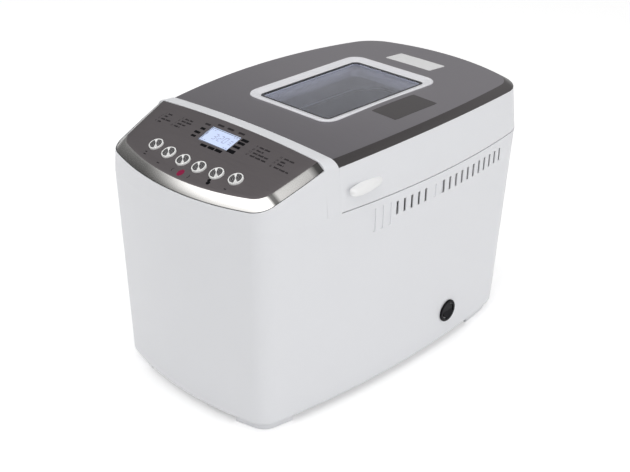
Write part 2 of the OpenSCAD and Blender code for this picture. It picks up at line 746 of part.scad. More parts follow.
element_z = 79;
element_x = chamber_width / 2 - 7;
element_y = chamber_length / 2 - 7;
element_bend = 24;
element_gap = 14;
module element_rod(x, y, turn, length) {
  translate([x, y, element_z]) rotate([0, 0, turn]) rotate([90, 0, 0])
    cylinder(r = tube_r, h = length, center = true);
}
module heating_element() {
  color([0.3, 0.29, 0.28])
  translate([0, chamber_y, 0]) {
    for (s = [-1, 1]) {
      element_rod(s * element_x, 0, 0, 2 * (element_y - element_bend));
      translate([s * (element_x - element_bend), element_y - element_bend, element_z])
        rotate([0, 0, s > 0 ? 0 : 90])
        rotate_extrude(angle = 90) translate([element_bend, 0]) circle(r = tube_r);
      translate([s * (element_x - element_bend), element_bend - element_y, element_z])
        rotate([0, 0, s > 0 ? -90 : 180])
        rotate_extrude(angle = 90) translate([element_bend, 0]) circle(r = tube_r);
      element_rod(s * (element_x - element_bend + element_gap + 7) / 2, -element_y, 90,
        element_x - element_bend - element_gap - 7);
      translate([s * (element_gap + 7), -element_y - 7, element_z]) rotate([0, 0, s > 0 ? 90 : 0])
        rotate_extrude(angle = 90) translate([7, 0]) circle(r = tube_r);
      translate([s * element_gap, -element_y - 7, element_z]) rotate([90, 0, 0])
        cylinder(r = tube_r, h = 12);
    }
    element_rod(0, element_y, 90, 2 * (element_x - element_bend));
  }
}

module element_supports() {
  color([0.68, 0.69, 0.7])
  translate([0, chamber_y, 0]) {
    for (s = [-1, 1]) translate([s * element_x - 1, -3 + s * 40, chamber_floor])
      cube([2, 6, element_z - tube_r - chamber_floor]);
    translate([-3, element_y - 1, chamber_floor]) cube([6, 2, element_z - tube_r - chamber_floor]);
  }
}

sensor_x = 44;
sensor_z = 112;
module temperature_sensor() {
  color([0.75, 0.76, 0.78])
  translate([sensor_x, chamber_y - chamber_length / 2, sensor_z]) rotate([90, 0, 0]) {
    translate([0, 0, -6]) cylinder(r = 3, h = 14);
    translate([0, 0, sheet_t]) cylinder(r = 6, h = 3, $fn = 6);
  }
}

bearing_r = 13;
bearing_gap = 1.2;
bearing_cap = 6;
bearing_cap_t = 2.5;
module bearings() {
  color([0.58, 0.59, 0.6])
  for (s = [-1, 1]) translate([0, chamber_y + s * shaft_pitch / 2, 0])
    difference() {
      union() {
        translate([0, 0, belt_z + belt_w + 5])
          cylinder(r = bearing_r, h = chamber_floor - belt_z - belt_w - 5);
        translate([0, 0, chamber_floor]) cylinder(r = bearing_r + bearing_cap, h = bearing_cap_t);
      }
      translate([0, 0, belt_z]) cylinder(r = shaft_r + run_gap, h = 60);
    }
}

// ---------- bread pan ----------

function pan_ring(inset, z) = flat_ring(rrect(pan_width / 2 - inset, pan_length / 2 - inset, 20, 6,
  chamber_y), z);
module bread_pan() {
  color([0.2, 0.2, 0.21])
  difference() {
    union() {
      skin([pan_ring(pan_taper / 2 + 3, pan_z), pan_ring(pan_taper / 2, pan_z + 3), pan_ring(0.6,
        rim_z - 3),
        pan_ring(-2.4, rim_z - 3), pan_ring(-2.4, rim_z), pan_ring(pan_t, rim_z),
          pan_ring(pan_taper / 2 + pan_t, pan_z + 4),
        pan_ring(pan_taper / 2 + pan_t + 3, pan_z + pan_t)]);
      for (s = [-1, 1]) pan_ear(s);
    }
    for (s = [-1, 1]) {
      translate([0, chamber_y + s * shaft_pitch / 2, pan_z - 2]) cylinder(r = 7, h = 8);
      translate([0, chamber_y + s * (pan_length / 2 + 4), bail_z]) rotate([90, 0, 0])
        cylinder(r = bail_r + run_gap, h = 12, center = true);
    }
  }
}
bail_z = rim_z - 6;
// Ear on a short end of the pan that carries the handle
module pan_ear(s) {
  translate([-8, chamber_y + s * (pan_length / 2 + 0.7) - 1, bail_z - 8]) cube([16, 2, 13]);
}

module pan_bushings() {
  color([0.7, 0.7, 0.72])
  for (s = [-1, 1]) translate([0, chamber_y + s * shaft_pitch / 2, 0])
    difference() {
      union() {
        translate([0, 0, pan_z - 1]) cylinder(r = 7, h = pan_t + 1);
        translate([0, 0, pan_z + pan_t]) cylinder(r = 10, h = 1.6);
      }
      translate([0, 0, pan_z - 2]) cylinder(r = pan_shaft_r + run_gap, h = 8);
    }
}

module pan_handle() {
  color([0.75, 0.76, 0.77]) {
    for (s = [-1, 1]) {
      translate([0, chamber_y + s * (bail_half + pan_length / 2 - 0.6) / 2, bail_z]) rotate([90, 0, 0])
        cylinder(r = bail_r, h = bail_half - pan_length / 2 + 0.6, center = true);
      translate([0, chamber_y + s * bail_half, bail_z]) rotate([90, 0, 0])
        cylinder(r = bail_r + 1.2, h = 2 * bail_r + 0.4, center = true);
      bail_frame() translate([0, s * bail_half, 0]) rotate([0, 90, 0])
        cylinder(r = bail_r, h = bail_reach - bail_bend);
      bail_frame() translate([bail_reach - bail_bend, s * (bail_half - bail_bend), 0])
        rotate([0, 0, s > 0 ? 0 : -90])
        rotate_extrude(angle = 90) translate([bail_bend, 0]) circle(r = bail_r);
    }
    bail_frame() translate([bail_reach, 0, 0]) rotate([90, 0, 0])
      cylinder(r = bail_r, h = 2 * (bail_half - bail_bend), center = true);
  }
}
bail_half = pan_length / 2 + 5;
bail_bend = 10;
// The handle lies on the pan's rim when it is down
bail_rest = asin((rim_z - bail_z + bail_r + 0.5) / (bail_reach - 6));
module bail_frame() {
  translate([0, chamber_y, bail_z]) rotate([0, -bail_rest, 0]) children();
}

// ---------- drive ----------

peg_r = 2;
peg_at = 7;
peg_h = 5;
wing_half = 2.5;
wing_reach = 9.5;
wing_t = 3.6;
dog_z = chamber_floor + bearing_cap_t + 1.5;
dog_r = 11;
dog_t = 3.5;
shaft_end = 3;
shaft_stand = 24;
shaft_in = 18;
module at_shaft(s) {
  translate([0, chamber_y + s * shaft_pitch / 2, 0]) children();
}
module pulley(s) {
  color([0.85, 0.84, 0.8])
  at_shaft(s) difference() {
    rotate_extrude() polygon([[shaft_r, belt_z - 1.4], [pulley_r + 2, belt_z - 1.4], [pulley_r + 2,
      belt_z - 0.4], [pulley_r, belt_z - 0.4],
      [pulley_r, belt_z + belt_w + 0.4], [pulley_r + 2, belt_z + belt_w + 0.4], [pulley_r + 2,
        belt_z + belt_w + 1.4],
      [shaft_r, belt_z + belt_w + 1.4]]);
    for (a = [0:60:300]) rotate([0, 0, a]) translate([pulley_r * 0.6, 0, belt_z - 3])
      cylinder(r = pulley_r * 0.17, h = belt_w + 8);
  }
}
module pulley_front() { pulley(-1); }
module pulley_rear() { pulley(1); }

module drive_shaft(s) {
  color([0.7, 0.7, 0.72])
  at_shaft(s) {
    translate([0, 0, belt_z - shaft_end]) cylinder(r = shaft_r, h = dog_z - belt_z + shaft_end);
    translate([0, 0, dog_z]) cylinder(r = dog_r, h = dog_t);
    for (a = [0, 180]) rotate([0, 0, a]) translate([peg_at, 0, dog_z + dog_t - 0.5])
      cylinder(r = peg_r, h = peg_h);
  }
}
module drive_shaft_front() { drive_shaft(-1); }
module drive_shaft_rear() { drive_shaft(1); }

wing_turn = asin((wing_half + peg_r + 0.1) / peg_at);
module pan_shaft(s) {
  color([0.78, 0.78, 0.8])
  at_shaft(s) {
    translate([0, 0, dog_z + dog_t + 0.5])
      cylinder(r = pan_shaft_r, h = pan_z + shaft_stand - dog_z - dog_t - 0.5);
    rotate([0, 0, wing_turn]) translate([-wing_reach, -wing_half, dog_z + dog_t + 0.5])
      cube([2 * wing_reach, 2 * wing_half, wing_t]);
  }
}
module pan_shaft_front() { pan_shaft(-1); }
module pan_shaft_rear() { pan_shaft(1); }

module paddle(s) {
  color([0.25, 0.25, 0.26])
  at_shaft(s) rotate([0, 0, s * 55]) translate([0, 0, pan_z + pan_t + 2.2])
    difference() {
      union() {
        cylinder(r1 = 9, r2 = 7, h = 20);
        intersection() {
          linear_extrude(height = 20)
            polygon(concat([for (i = [0:8]) [paddle_reach * i / 8, 3.4 + 5 * sin(180 * i / 8) - 2 * i / 8]],
            [for (i = [8:-1:0]) [paddle_reach * i / 8, -2.6 + 5 * sin(180 * i / 8) + 1.6 * i / 8]]));
          rotate([90, 0, 0]) linear_extrude(height = 40, center = true)
            polygon([[0, 0], [paddle_reach, 0], [paddle_reach, 11], [paddle_reach - 6, 15], [4, 19.4],
              [0, 19.4]]);
        }
      }
      translate([0, 0, -1]) cylinder(r = pan_shaft_r, h = 30);
    }
}
module paddle_front() { paddle(-1); }
module paddle_rear() { paddle(1); }

belt_run = 0.3;
front_shaft = chamber_y - shaft_pitch / 2;
rear_shaft = chamber_y + shaft_pitch / 2;
// Outline of the loop round the motor pulley and the two large pulleys, at a distance g from them
module belt_outline(g) {
  turn = asin((pulley_r - motor_pulley_r) / (front_shaft - motor_y));
  r1 = motor_pulley_r + g;
  r2 = pulley_r + g;
  translate([0, motor_y]) circle(r = r1);
  translate([0, front_shaft]) circle(r = r2);
  translate([0, rear_shaft]) circle(r = r2);
  polygon([[-r1 * cos(turn), motor_y - r1 * sin(turn)], [r1 * cos(turn), motor_y - r1 * sin(turn)],
    [r2 * cos(turn), front_shaft - r2 * sin(turn)], [-r2 * cos(turn), front_shaft - r2 * sin(turn)]]);
  translate([-r2, front_shaft]) square([2 * r2, shaft_pitch]);
}
module belt() {
  color([0.12, 0.12, 0.12])
  translate([0, 0, belt_z]) linear_extrude(height = belt_w) difference() {
    belt_outline(belt_run + belt_t);
    belt_outline(belt_run);
  }
}

bracket_z = belt_z + belt_w + 7;
bracket_t = 3;
bracket_half_x = motor_r + 10;
bracket_half_y = motor_r + 6;
bracket_post_r = 4.5;
module motor_bracket() {
  color([0.6, 0.61, 0.62])
  difference() {
    union() {
      translate([0, motor_y, bracket_z]) rounded(bracket_half_x, bracket_half_y, 8, bracket_t);
      for (sx = [-1, 1], sy = [-1, 1])
        translate([sx * (bracket_half_x - 6), motor_y + sy * (bracket_half_y - 6), foot_height + floor_t])
          cylinder(r = bracket_post_r, h = bracket_z - foot_height - floor_t + 1);
    }
    translate([0, motor_y, bracket_z - 1]) cylinder(r = 9, h = 8);
  }
}
module motor() {
  color([0.5, 0.5, 0.52])
  translate([0, motor_y, bracket_z + bracket_t]) difference() {
    union() {
      cylinder(r = motor_r - motor_lip, h = motor_cap);
      translate([0, 0, motor_cap]) cylinder(r = motor_r, h = motor_can);
      translate([0, 0, motor_cap + motor_can]) cylinder(r = motor_r - motor_lip, h = motor_cap);
      translate([0, 0, 2 * motor_cap + motor_can]) cylinder(r = motor_seat_r, h = motor_seat_h);
    }
    translate([0, 0, -1]) cylinder(r = motor_shaft_r + run_gap, h = shaft_in + 12);
  }
}
motor_cap = 6;
motor_lip = 3;
motor_seat_r = 10;
motor_seat_h = 4;
module motor_shaft() {
  color([0.75, 0.75, 0.77])
  translate([0, motor_y, belt_z - shaft_end])
    cylinder(r = motor_shaft_r, h = bracket_z + bracket_t + shaft_in + shaft_end - belt_z);
}
module motor_pulley() {
  color([0.8, 0.79, 0.76])
  translate([0, motor_y, 0]) rotate_extrude()
    polygon([[motor_shaft_r, belt_z - 1.4], [motor_pulley_r + 2, belt_z - 1.4],
    [motor_pulley_r + 2, belt_z - 0.4], [motor_pulley_r, belt_z - 0.4], [motor_pulley_r,
      belt_z + belt_w + 0.4],
    [motor_pulley_r + 2, belt_z + belt_w + 0.4], [motor_pulley_r + 2, belt_z + belt_w + 1.4],
      [motor_shaft_r, belt_z + belt_w + 1.4]]);
}

// ---------- lid ----------

neck_x = window_half_x - 3.4;
neck_y = window_half_y - 3.4;
module window_hole(extra, z0, z1) {
  translate([0, window_y, z0])
    rounded(neck_x + extra, neck_y + extra, window_corner - 3.4 + extra, z1 - z0);
}

module lid_shell() {
  color([0.93, 0.93, 0.94])
  difference() {
    union() {
      difference() {
        intersection() {
          top_form("lid", 0, parting_height + lid_gap, plate_t, 0, lid_bevel, lid_bevel_h);
          behind(seam_y + lid_gap, parting_height);
        }
        intersection() {
          top_form("lid", wall, parting_height - 1, plate_t, 0, lid_bevel, lid_bevel_h);
          behind(seam_y + lid_gap + wall, parting_height - 2);
        }
        window_hole(0.2, parting_height + 10, crest_height + 10);
      }
      for (s = [-1, 1]) lid_knuckle(s);
    }
    for (s = [-1, 1]) translate([s * hinge_x, hinge_y, hinge_z]) rotate([0, 90, 0])
      cylinder(r = pin_r + run_gap, h = knuckle_w + 4, center = true);
    for (s = [-1, 1]) grip_form(s);
  }
}
module lid_knuckle(s) {
  translate([s * hinge_x, hinge_y, hinge_z]) rotate([0, 90, 0])
    cylinder(r = knuckle_r, h = knuckle_w, center = true);
  translate([s * hinge_x - knuckle_w / 2, hinge_y - hinge_back - rear_bow * 0.36, parting_height + lid_gap])
    cube([knuckle_w, hinge_back + rear_bow * 0.36, hinge_up - lid_gap + knuckle_r]);
}

module lid_plate() {
  color([0.42, 0.41, 0.43])
  difference() {
    intersection() {
      plate_skin("lid", 0, lid_bevel, lid_bevel_h, crest_place("lid"));
      behind(seam_y + lid_gap, parting_height);
    }
    window_hole(0.2, parting_height + 10, crest_height + 10);
  }
}

grip_y = -66;
grip_z = parting_height + 18.1;
grip_t = 7;
grip_end_r = 6;
// Bar of a side grip, with its inner face on the lid's wall and its underside sloping outward
module grip_form(side) {
  mirror([side < 0 ? 1 : 0, 0, 0])
    translate([side_x(grip_y, grip_z), grip_y, grip_z]) rotate([0, 0, side_yaw(grip_y)])
      difference() {
        translate([0, 0, -grip_t / 2]) linear_extrude(height = grip_t) union() {
          translate([-0.2, -grip_length / 2 + grip_end_r])
            square([grip_depth, grip_length - 2 * grip_end_r]);
          for (t = [-1, 1]) translate([grip_depth - grip_end_r, t * (grip_length / 2 - grip_end_r)])
            circle(r = grip_end_r);
        }
        translate([-12 - lid_draft * grip_t / 2, -grip_length, -6]) rotate([0, -atan(lid_draft), 0])
          cube([12, 2 * grip_length, 16]);
        translate([0, 0, -5.5]) rotate([0, -28, 0]) translate([-1, -grip_length, -4])
          cube([16, 2 * grip_length, 4]);
      }
}
module lid_grips() {
  color([0.95, 0.95, 0.95])
  for (s = [-1, 1]) grip_form(s);
}

module lid_liner() {
  hx = chamber_width / 2 + 7;
  hy = chamber_length / 2 + 3;
  color([0.78, 0.79, 0.8])
  difference() {
    union() {
      translate([0, 0, parting_height + lid_gap + 0.4])
        intersection() {
          linear_extrude(height = sheet_t) polygon(inset_mid(wall + 0.25));
          behind(seam_y + lid_gap + wall + 0.4, -2);
        }
      translate([0, chamber_y + 2, parting_height + lid_gap + 0.4])
        rounded(hx, hy, chamber_corner, liner_z - parting_height - lid_gap - 0.4);
      translate([0, window_y, liner_z - 1])
        rounded(neck_x - 1, neck_y - 1, window_corner - 4, collar_z - liner_z + 1);
    }
    translate([0, chamber_y + 2, parting_height])
      rounded(hx - sheet_t, hy - sheet_t, chamber_corner - sheet_t, liner_z - parting_height - sheet_t);
    translate([0, window_y, parting_height])
      rounded(neck_x - 1 - sheet_t, neck_y - 1 - sheet_t, window_corner - 4 - sheet_t, far);
  }
}
collar_z = lid_z(neck_x, window_y - neck_y) - 8.4;

// Points along each side of the window, so that its parts follow the arch of the lid
side_steps = 6;
function window_ring(inset, up) =
  [for (p = rrect(window_half_x - inset, window_half_y - inset, window_corner - min(inset, 8), 5, window_y,
    side_steps))
    [p[0], p[1], lid_z(p[0], p[1]) + up]];
frame_up = 2.6;
glass_drop = 4.2;
module window_frame() {
  color([0.93, 0.93, 0.93])
  loop_skin([window_ring(3.4, 0.05), window_ring(0, 0.05), window_ring(0.5, 1.8), window_ring(1.3,
    frame_up),
    window_ring(3.3, frame_up), window_ring(9.4, -glass_drop + 1), window_ring(9.4, -glass_drop),
    window_ring(6.9, -glass_drop), window_ring(6.9, -glass_drop - glass_t - 0.4), window_ring(3.4,
      -glass_drop - glass_t - 0.4)]);
}
module window_glass() {
  color([0.5, 0.56, 0.66])
  skin([scaled_window(7.2, -glass_drop - glass_t, 0.5), window_ring(7.2, -glass_drop - glass_t),
    window_ring(7.2, -glass_drop - 0.05), scaled_window(7.2, -glass_drop - 0.05, 0.5)]);
}
function scaled_window(inset, up, s) =
  [for (p = rrect((window_half_x - inset) * s, (window_half_y - inset) * s, (window_corner - 7) * s, 5,
    window_y, side_steps))
    [p[0], p[1], lid_z(p[0], p[1]) + up]];
module window_gasket() {
  color([0.1, 0.1, 0.11])
  loop_skin([window_ring(10.8, -glass_drop), window_ring(9.5, -glass_drop), window_ring(9.5,
    -glass_drop + 0.8),
    window_ring(10.8, -glass_drop + 0.8)]);
}

module hinge_pins() {
  color([0.7, 0.7, 0.72])
  for (s = [-1, 1]) translate([s * hinge_x, hinge_y, hinge_z]) rotate([0, 90, 0])
    cylinder(r = pin_r, h = knuckle_w + 2 * ear_w + 2 * side_gap, center = true);
}

// ---------- mains switch ----------

rocker_r = switch_r - 3.4;
rocker_sunk = 2;
rocker_pin_r = 1.2;
module switch_bezel() {
  color([0.06, 0.06, 0.07])
  on_side(switch_y, switch_z) {
    translate([0, 0, -rocker_sunk]) rotate([90, 0, 0])
      cylinder(r = rocker_pin_r, h = 2 * rocker_r + 2, center = true);
    rotate_extrude() polygon([[0, -15], [switch_r - 1.6, -15], [switch_r - 1.6, 0.1], [switch_r, 0.1],
      [switch_r, 1.2], [switch_r - 0.8, 2],
      [rocker_r + 0.5, 2], [rocker_r + 0.5, -11], [0, -11]]);
  }
}
module switch_rocker() {
  color([0.08, 0.08, 0.09])
  on_side(switch_y, switch_z) translate([0, 0, -rocker_sunk])
    rotate([0, -rocker_swing / 2, 0]) difference() {
    intersection() {
      translate([0, 0, -8]) cylinder(r = rocker_r - 0.6, h = 16);
      rotate([90, 0, 0]) linear_extrude(height = 2 * rocker_r, center = true)
        polygon([[-7.5, 4.4], [0, 3.2], [7.5, 4.4], [7, -1], [2.6, -4], [-2.6, -4], [-7, -1]]);
    }
    rotate([90, 0, 0]) cylinder(r = rocker_pin_r + run_gap, h = 2 * rocker_r + 4, center = true);
  }
}

base_shell();
base_plate();
feet();
base_screws();
control_panel();
lcd_window();
lcd_module();
button_1();
button_2();
button_3();
button_4();
button_5();
button_6();
control_board();
board_screws();
power_board();
board_posts();
chamber();
pan_seat();
pan_clips();
heating_element();
element_supports();
temperature_sensor();
bearings();
bread_pan();
pan_bushings();
pan_handle();
pulley_front();
pulley_rear();
drive_shaft_front();
drive_shaft_rear();
pan_shaft_front();
pan_shaft_rear();
paddle_front();
paddle_rear();
belt();
motor();
motor_bracket();
motor_shaft();
motor_pulley();
lid_shell();
lid_plate();
lid_grips();
lid_liner();
window_frame();
window_glass();
window_gasket();
hinge_pins();
switch_bezel();
switch_rocker();
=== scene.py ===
import math
import bmesh
import bpy
import numpy as np
from mathutils import Matrix, Vector


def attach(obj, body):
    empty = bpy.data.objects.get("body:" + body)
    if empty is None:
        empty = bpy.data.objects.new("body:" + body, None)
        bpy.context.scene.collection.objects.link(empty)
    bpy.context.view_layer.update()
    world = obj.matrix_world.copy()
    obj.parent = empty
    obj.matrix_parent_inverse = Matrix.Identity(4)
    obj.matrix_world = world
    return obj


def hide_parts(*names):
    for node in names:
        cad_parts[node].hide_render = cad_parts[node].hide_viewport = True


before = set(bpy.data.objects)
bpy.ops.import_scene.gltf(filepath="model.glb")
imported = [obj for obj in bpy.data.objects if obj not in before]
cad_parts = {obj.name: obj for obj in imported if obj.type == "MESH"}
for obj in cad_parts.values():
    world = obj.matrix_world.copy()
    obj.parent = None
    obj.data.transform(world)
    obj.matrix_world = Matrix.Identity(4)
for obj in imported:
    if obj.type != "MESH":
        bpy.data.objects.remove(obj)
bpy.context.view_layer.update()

# Sizes of the machine in millimetres, as in the CAD model
MM = 0.001
HALF_W, HALF_L, PARTING, FOOT, EDGE_R, WALL = 122.7, 190.0, 199.4, 7.6, 5.0, 2.6
CHAMBER_Y, CHAMBER_X, CHAMBER_L = 31.0, 78.0, 114.0
DRAFT, PLATE_T, LID_GAP, SEAM_GAP = 0.075, 1.2, 0.7, 0.35
LID_BEVEL, LID_BEVEL_H = 7.6, 4.6
PANEL_BEVEL, PANEL_BEVEL_H, PANEL_RIM = 6.8, 5.0, 1.1
SEAM_Y, PANEL_BACK, SEAM_BOW = -92.8, -107.3, 2.7
WINDOW_X, WINDOW_L, WINDOW_Y, WINDOW_R = 55.9, 75.6, 24.5, 14.0
SLOPE = math.radians(20)
PITCH, BUTTON_Y, BUTTON_BOW, BUTTON_R = 21.6, -161.8, 4.4, 6.9
LCD_X, LCD_L, LCD_PLACE, LCD_Y = 19.4, 9.8, -2.8, -126.8
PANEL_CORNER, CORNER_R, MID_BOW, MID_REAR_BOW, MID_REAR_R, SET_IN = 20.0, 22, 23, 25, 46, 12
LOW_W, LOW_FRONT, LOW_REAR, LOW_BOW = 113.8, 189, 171, 18.4
LOW_FRONT_BOW, LOW_REAR_BOW, LOW_REAR_R = 19.09, 21, 35.88
LID_TOP, LID_PEAK_Y, LID_CURVE, PANEL_TOP = 252.7, 29.5, 3572, 250.4
# across the machine each surface falls by its own crown at CROWN_X from the middle
CROWN_X, LID_CROWN, PANEL_CROWN, STRIP_CROWN = 110, 2.8, 2.4, 2.6
HINGE_X, HINGE_Y, HINGE_Z, KNUCKLE_R, KNUCKLE_W, EAR_W, PIN_R = 63.0, 190.6, 200.4, 3.8, 9.2, 6.0, 1.8
SLOT_Y, SLOT_PITCH, SLOT_Z, SLOT_H, SLOT_W = -30.0, 9.35, 184.2, 13.2, 2.9
SLOT_DEPTH, GROOVE_DEPTH, GROOVE_DROP = 1.3, 0.7, 3.0
PANE_INSET, PANE_TOP, PANE_FOOT = 11.0, -2.3, -5.2
PRINT_Y, PRINT_SINK, PRINT_RISE, DISPLAY_DROP = -127.7, -0.15, 0.07, 0.25
# where the straighter part of each side ends, and the steps along each stretch of a ring
SIDE_END, FRONT_N, BAND_N, REAR_N, SIDE_N, SEAM_N = 134.0, 56, 5, 44, 60, 42

# Studio
FLOOR_REACH, PANEL_STRENGTH, EVEN_LEVEL = 9000, 2.3, 0.555


# ---------- plan curves ----------

def arc(centre, r, a0, a1, n):
    a = np.radians(np.linspace(a0, a1, n + 1))
    return [np.array([centre[0] + r * math.cos(t), centre[1] + r * math.sin(t)]) for t in a]


def bow_radius(half, sag):
    return (half * half + sag * sag) / (2 * sag)


def meeting_point(c1, r1, c2, r2, want):
    d = c2 - c1
    l = np.linalg.norm(d)
    a = (r1 * r1 - r2 * r2 + l * l) / (2 * l)
    h = math.sqrt(max(0, r1 * r1 - a * a))
    m = c1 + d * a / l
    q = np.array([-d[1], d[0]]) / l
    return min((m + h * q, m - h * q), key=lambda p: np.linalg.norm(p - want))


def half_outline(hw, yf, yr, sf, sr, ss, rf, rr):
    """Right half of a plan outline of bowed sides and tangent corner arcs, from the front to the rear."""
    big_s, big_f, big_r = bow_radius((yr - yf) / 2, ss), bow_radius(hw, sf), bow_radius(hw, sr)
    cs, cf, cr = np.array([hw - big_s, (yr + yf) / 2]), np.array([0, yf + big_f]), np.array([0, yr - big_r])
    kf = meeting_point(cs, big_s - rf, cf, big_f - rf, np.array([hw - rf, yf + rf]))
    kr = meeting_point(cs, big_s - rr, cr, big_r - rr, np.array([hw - rr, yr - rr]))
    aim = lambda c, p: math.degrees(math.atan2(p[1] - c[1], p[0] - c[0]))
    pts = arc(cf, big_f, -90, aim(cf, kf), 20)
    pts += arc(kf, rf, aim(cf, kf), aim(cs, kf), 24)[1:]
    pts += arc(cs, big_s, aim(cs, kf), aim(cs, kr), 60)[1:]
    pts += arc(kr, rr, aim(cs, kr), aim(cr, kr), 30)[1:]
    pts += arc(cr, big_r, aim(cr, kr), 90, 24)[1:]
    return np.array(pts)


def mid_half(k):
    """Outline at the parting line, set in by k."""
    return half_outline(HALF_W - k, -HALF_L + k, HALF_L - k, MID_BOW, MID_REAR_BOW, MID_BOW, max(CORNER_R - k, 3),
                        MID_REAR_R - k)


def low_half(k):
    """Outline at the foot of the wall, set in by k."""
    return half_outline(LOW_W - k, -LOW_FRONT + k, LOW_REAR - k, LOW_FRONT_BOW, LOW_REAR_BOW, LOW_BOW,
                        max(CORNER_R - k, 3), LOW_REAR_R - k)


# each outline, and the way that its points move for each millimetre that it is set in
MID = mid_half(0)
MID_IN = (mid_half(SET_IN) - MID) / SET_IN
PANEL_IN = (half_outline(HALF_W - SET_IN, -HALF_L + SET_IN, HALF_L - SET_IN, MID_BOW, MID_REAR_BOW, MID_BOW,
                         CORNER_R + (PANEL_CORNER - CORNER_R) * SET_IN / (PANEL_RIM + PANEL_BEVEL),
                         MID_REAR_R - SET_IN) - MID) / SET_IN
LOW = low_half(0)
LOW_IN = (low_half(SET_IN) - LOW) / SET_IN


def seam_at(x, y0=SEAM_Y):
    return y0 - SEAM_BOW * (x / CROWN_X) ** 2


def lid_z(x, y):
    return LID_TOP - (y - LID_PEAK_Y) ** 2 / LID_CURVE - LID_CROWN * (x / CROWN_X) ** 2


def panel_z(x, y):
    return PANEL_TOP + math.tan(SLOPE) * (y - PANEL_BACK) - PANEL_CROWN * (x / CROWN_X) ** 2


STRIP_END = lid_z(0, SEAM_Y)


def strip_z(x, y):
    fall = (PANEL_TOP - STRIP_END) * (y - SEAM_Y) / (PANEL_BACK - SEAM_Y)
    return STRIP_END + fall - STRIP_CROWN * (x / CROWN_X) ** 2


def side_x(y, z):
    t = (z - FOOT) / (PARTING - FOOT)
    top = HALF_W - MID_BOW * (y / HALF_L) ** 2
    low = LOW_W - LOW_BOW * ((y * 2 + LOW_FRONT - LOW_REAR) / (LOW_FRONT + LOW_REAR)) ** 2
    return top - DRAFT * (z - PARTING) if z > PARTING else low + (top - low) * t


def at_height(xy, z):
    return np.column_stack([xy, np.full(len(xy), z)])


def wall_half(z):
    """Right half of the body wall at a height below the parting line."""
    t = max(0.0, (z - FOOT - EDGE_R) / (PARTING - FOOT - EDGE_R))
    return at_height(LOW * (1 - t) + MID * t, z)


def top_half(surface, k, drop):
    """Right half of a ring that follows a top surface, set in by the draft plus k."""
    h = surface(MID[:, 0], MID[:, 1]) - drop - PARTING
    p = MID + MID_IN * (DRAFT * h)[:, None] + (PANEL_IN if surface is panel_z else MID_IN) * k
    return np.column_stack([p, surface(p[:, 0], p[:, 1]) - drop])


# ---------- columns: the same stations on every ring ----------

def stations(ring, spans):
    """Points of a half ring at fixed stations; spans give each stretch's end and steps, with 0 for the start."""
    step = np.linalg.norm(np.diff(ring, axis=0), axis=1)
    run = np.concatenate([[0], np.cumsum(step)])
    at = [0.0]
    for how, value, n in spans:
        if how == "ys":
            at += [float(np.interp(y, ring[:, 1], run)) for y in value]
            continue
        end = run[-1] if how == "end" else run_at(ring, run, how, value)
        at = [end] if n == 0 else at + list(np.linspace(at[-1], end, n + 1)[1:])
    return np.array([[np.interp(a, run, ring[:, i]) for i in range(3)] for a in at])


def run_at(ring, run, how, value):
    if how == "y":
        return float(np.interp(value, ring[:, 1], run))
    return float(np.interp(0, ring[:, 1] - seam_at(ring[:, 0], value), run))


def mirrored(half):
    """Closed ring from a half that starts and ends on the middle plane."""
    return np.vstack([half, half[::-1][1:-1] * [-1, 1, 1]])


# ---------- mesh builders ----------

class Shape:
    """Vertices (in millimetres), faces and material numbers of one piece."""

    def __init__(self):
        self.v, self.f, self.m = [], [], []

    def ring(self, pts):
        start = len(self.v)
        self.v += [tuple(p) for p in pts]
        return list(range(start, start + len(pts)))

    def band(self, a, b, mat=0, closed=True, skip=()):
        n = len(a)
        for i in range(n if closed else n - 1):
            if i in skip:
                continue
            j = (i + 1) % n
            self.f.append((a[i], a[j], b[j], b[i]))
            self.m.append(mat)

    def bands(self, ids, closed=True):
        """Faces between each ring and the next."""
        for a, b in zip(ids, ids[1:]):
            self.band(a, b, 0, closed)

    def loft(self, rings, mats=0):
        ids = [self.ring(r) for r in rings]
        for k in range(len(ids) - 1):
            self.band(ids[k], ids[k + 1], mats if isinstance(mats, int) else mats[k])
        return ids

    def cap(self, ids, mat=0):
        self.f.append(tuple(ids))
        self.m.append(mat)

    def capped(self, rings):
        """Loft closed at both ends."""
        ids = self.loft(rings)
        self.cap(ids[0])
        self.cap(ids[-1])

    def piece(self, name, mats, body=None, slot=None, replaces=(), sharp=40, smooth=True, weighted=False, place=None):
        """Makes the object, and says which body it rides on and the nodes that it stands for; slot is not used."""
        mesh = bpy.data.meshes.new(name)
        mesh.from_pydata([Vector(v) * MM for v in self.v], [], self.f)
        for m in mats:
            mesh.materials.append(m)
        mesh.polygons.foreach_set("material_index", self.m)
        bm = bmesh.new()
        bm.from_mesh(mesh)
        bmesh.ops.remove_doubles(bm, verts=bm.verts, dist=1e-6)
        bmesh.ops.recalc_face_normals(bm, faces=bm.faces)
        bm.to_mesh(mesh)
        bm.free()
        if smooth:
            mesh.polygons.foreach_set("use_smooth", [True] * len(mesh.polygons))
            mesh.set_sharp_from_angle(angle=math.radians(sharp))
        obj = bpy.data.objects.new(name, mesh)
        bpy.context.scene.collection.objects.link(obj)
        if place is not None:
            obj.matrix_world = place
        if weighted:
            obj.modifiers.new("even_normals", "WEIGHTED_NORMAL").keep_sharp = True
        if body:
            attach(obj, body)
        if replaces:
            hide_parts(*replaces)
        return obj


def rounded_rect(hx, hy, r, cy=0.0, n=8, cx=0.0):
    pts = []
    for c, (sx, sy) in enumerate([(1, 1), (-1, 1), (-1, -1), (1, -1)]):
        for i in range(n + 1):
            a = math.radians(c * 90 + i * 90 / n)
            pts.append((cx + sx * (hx - r) + r * math.cos(a), cy + sy * (hy - r) + r * math.sin(a)))
    return np.array(pts)


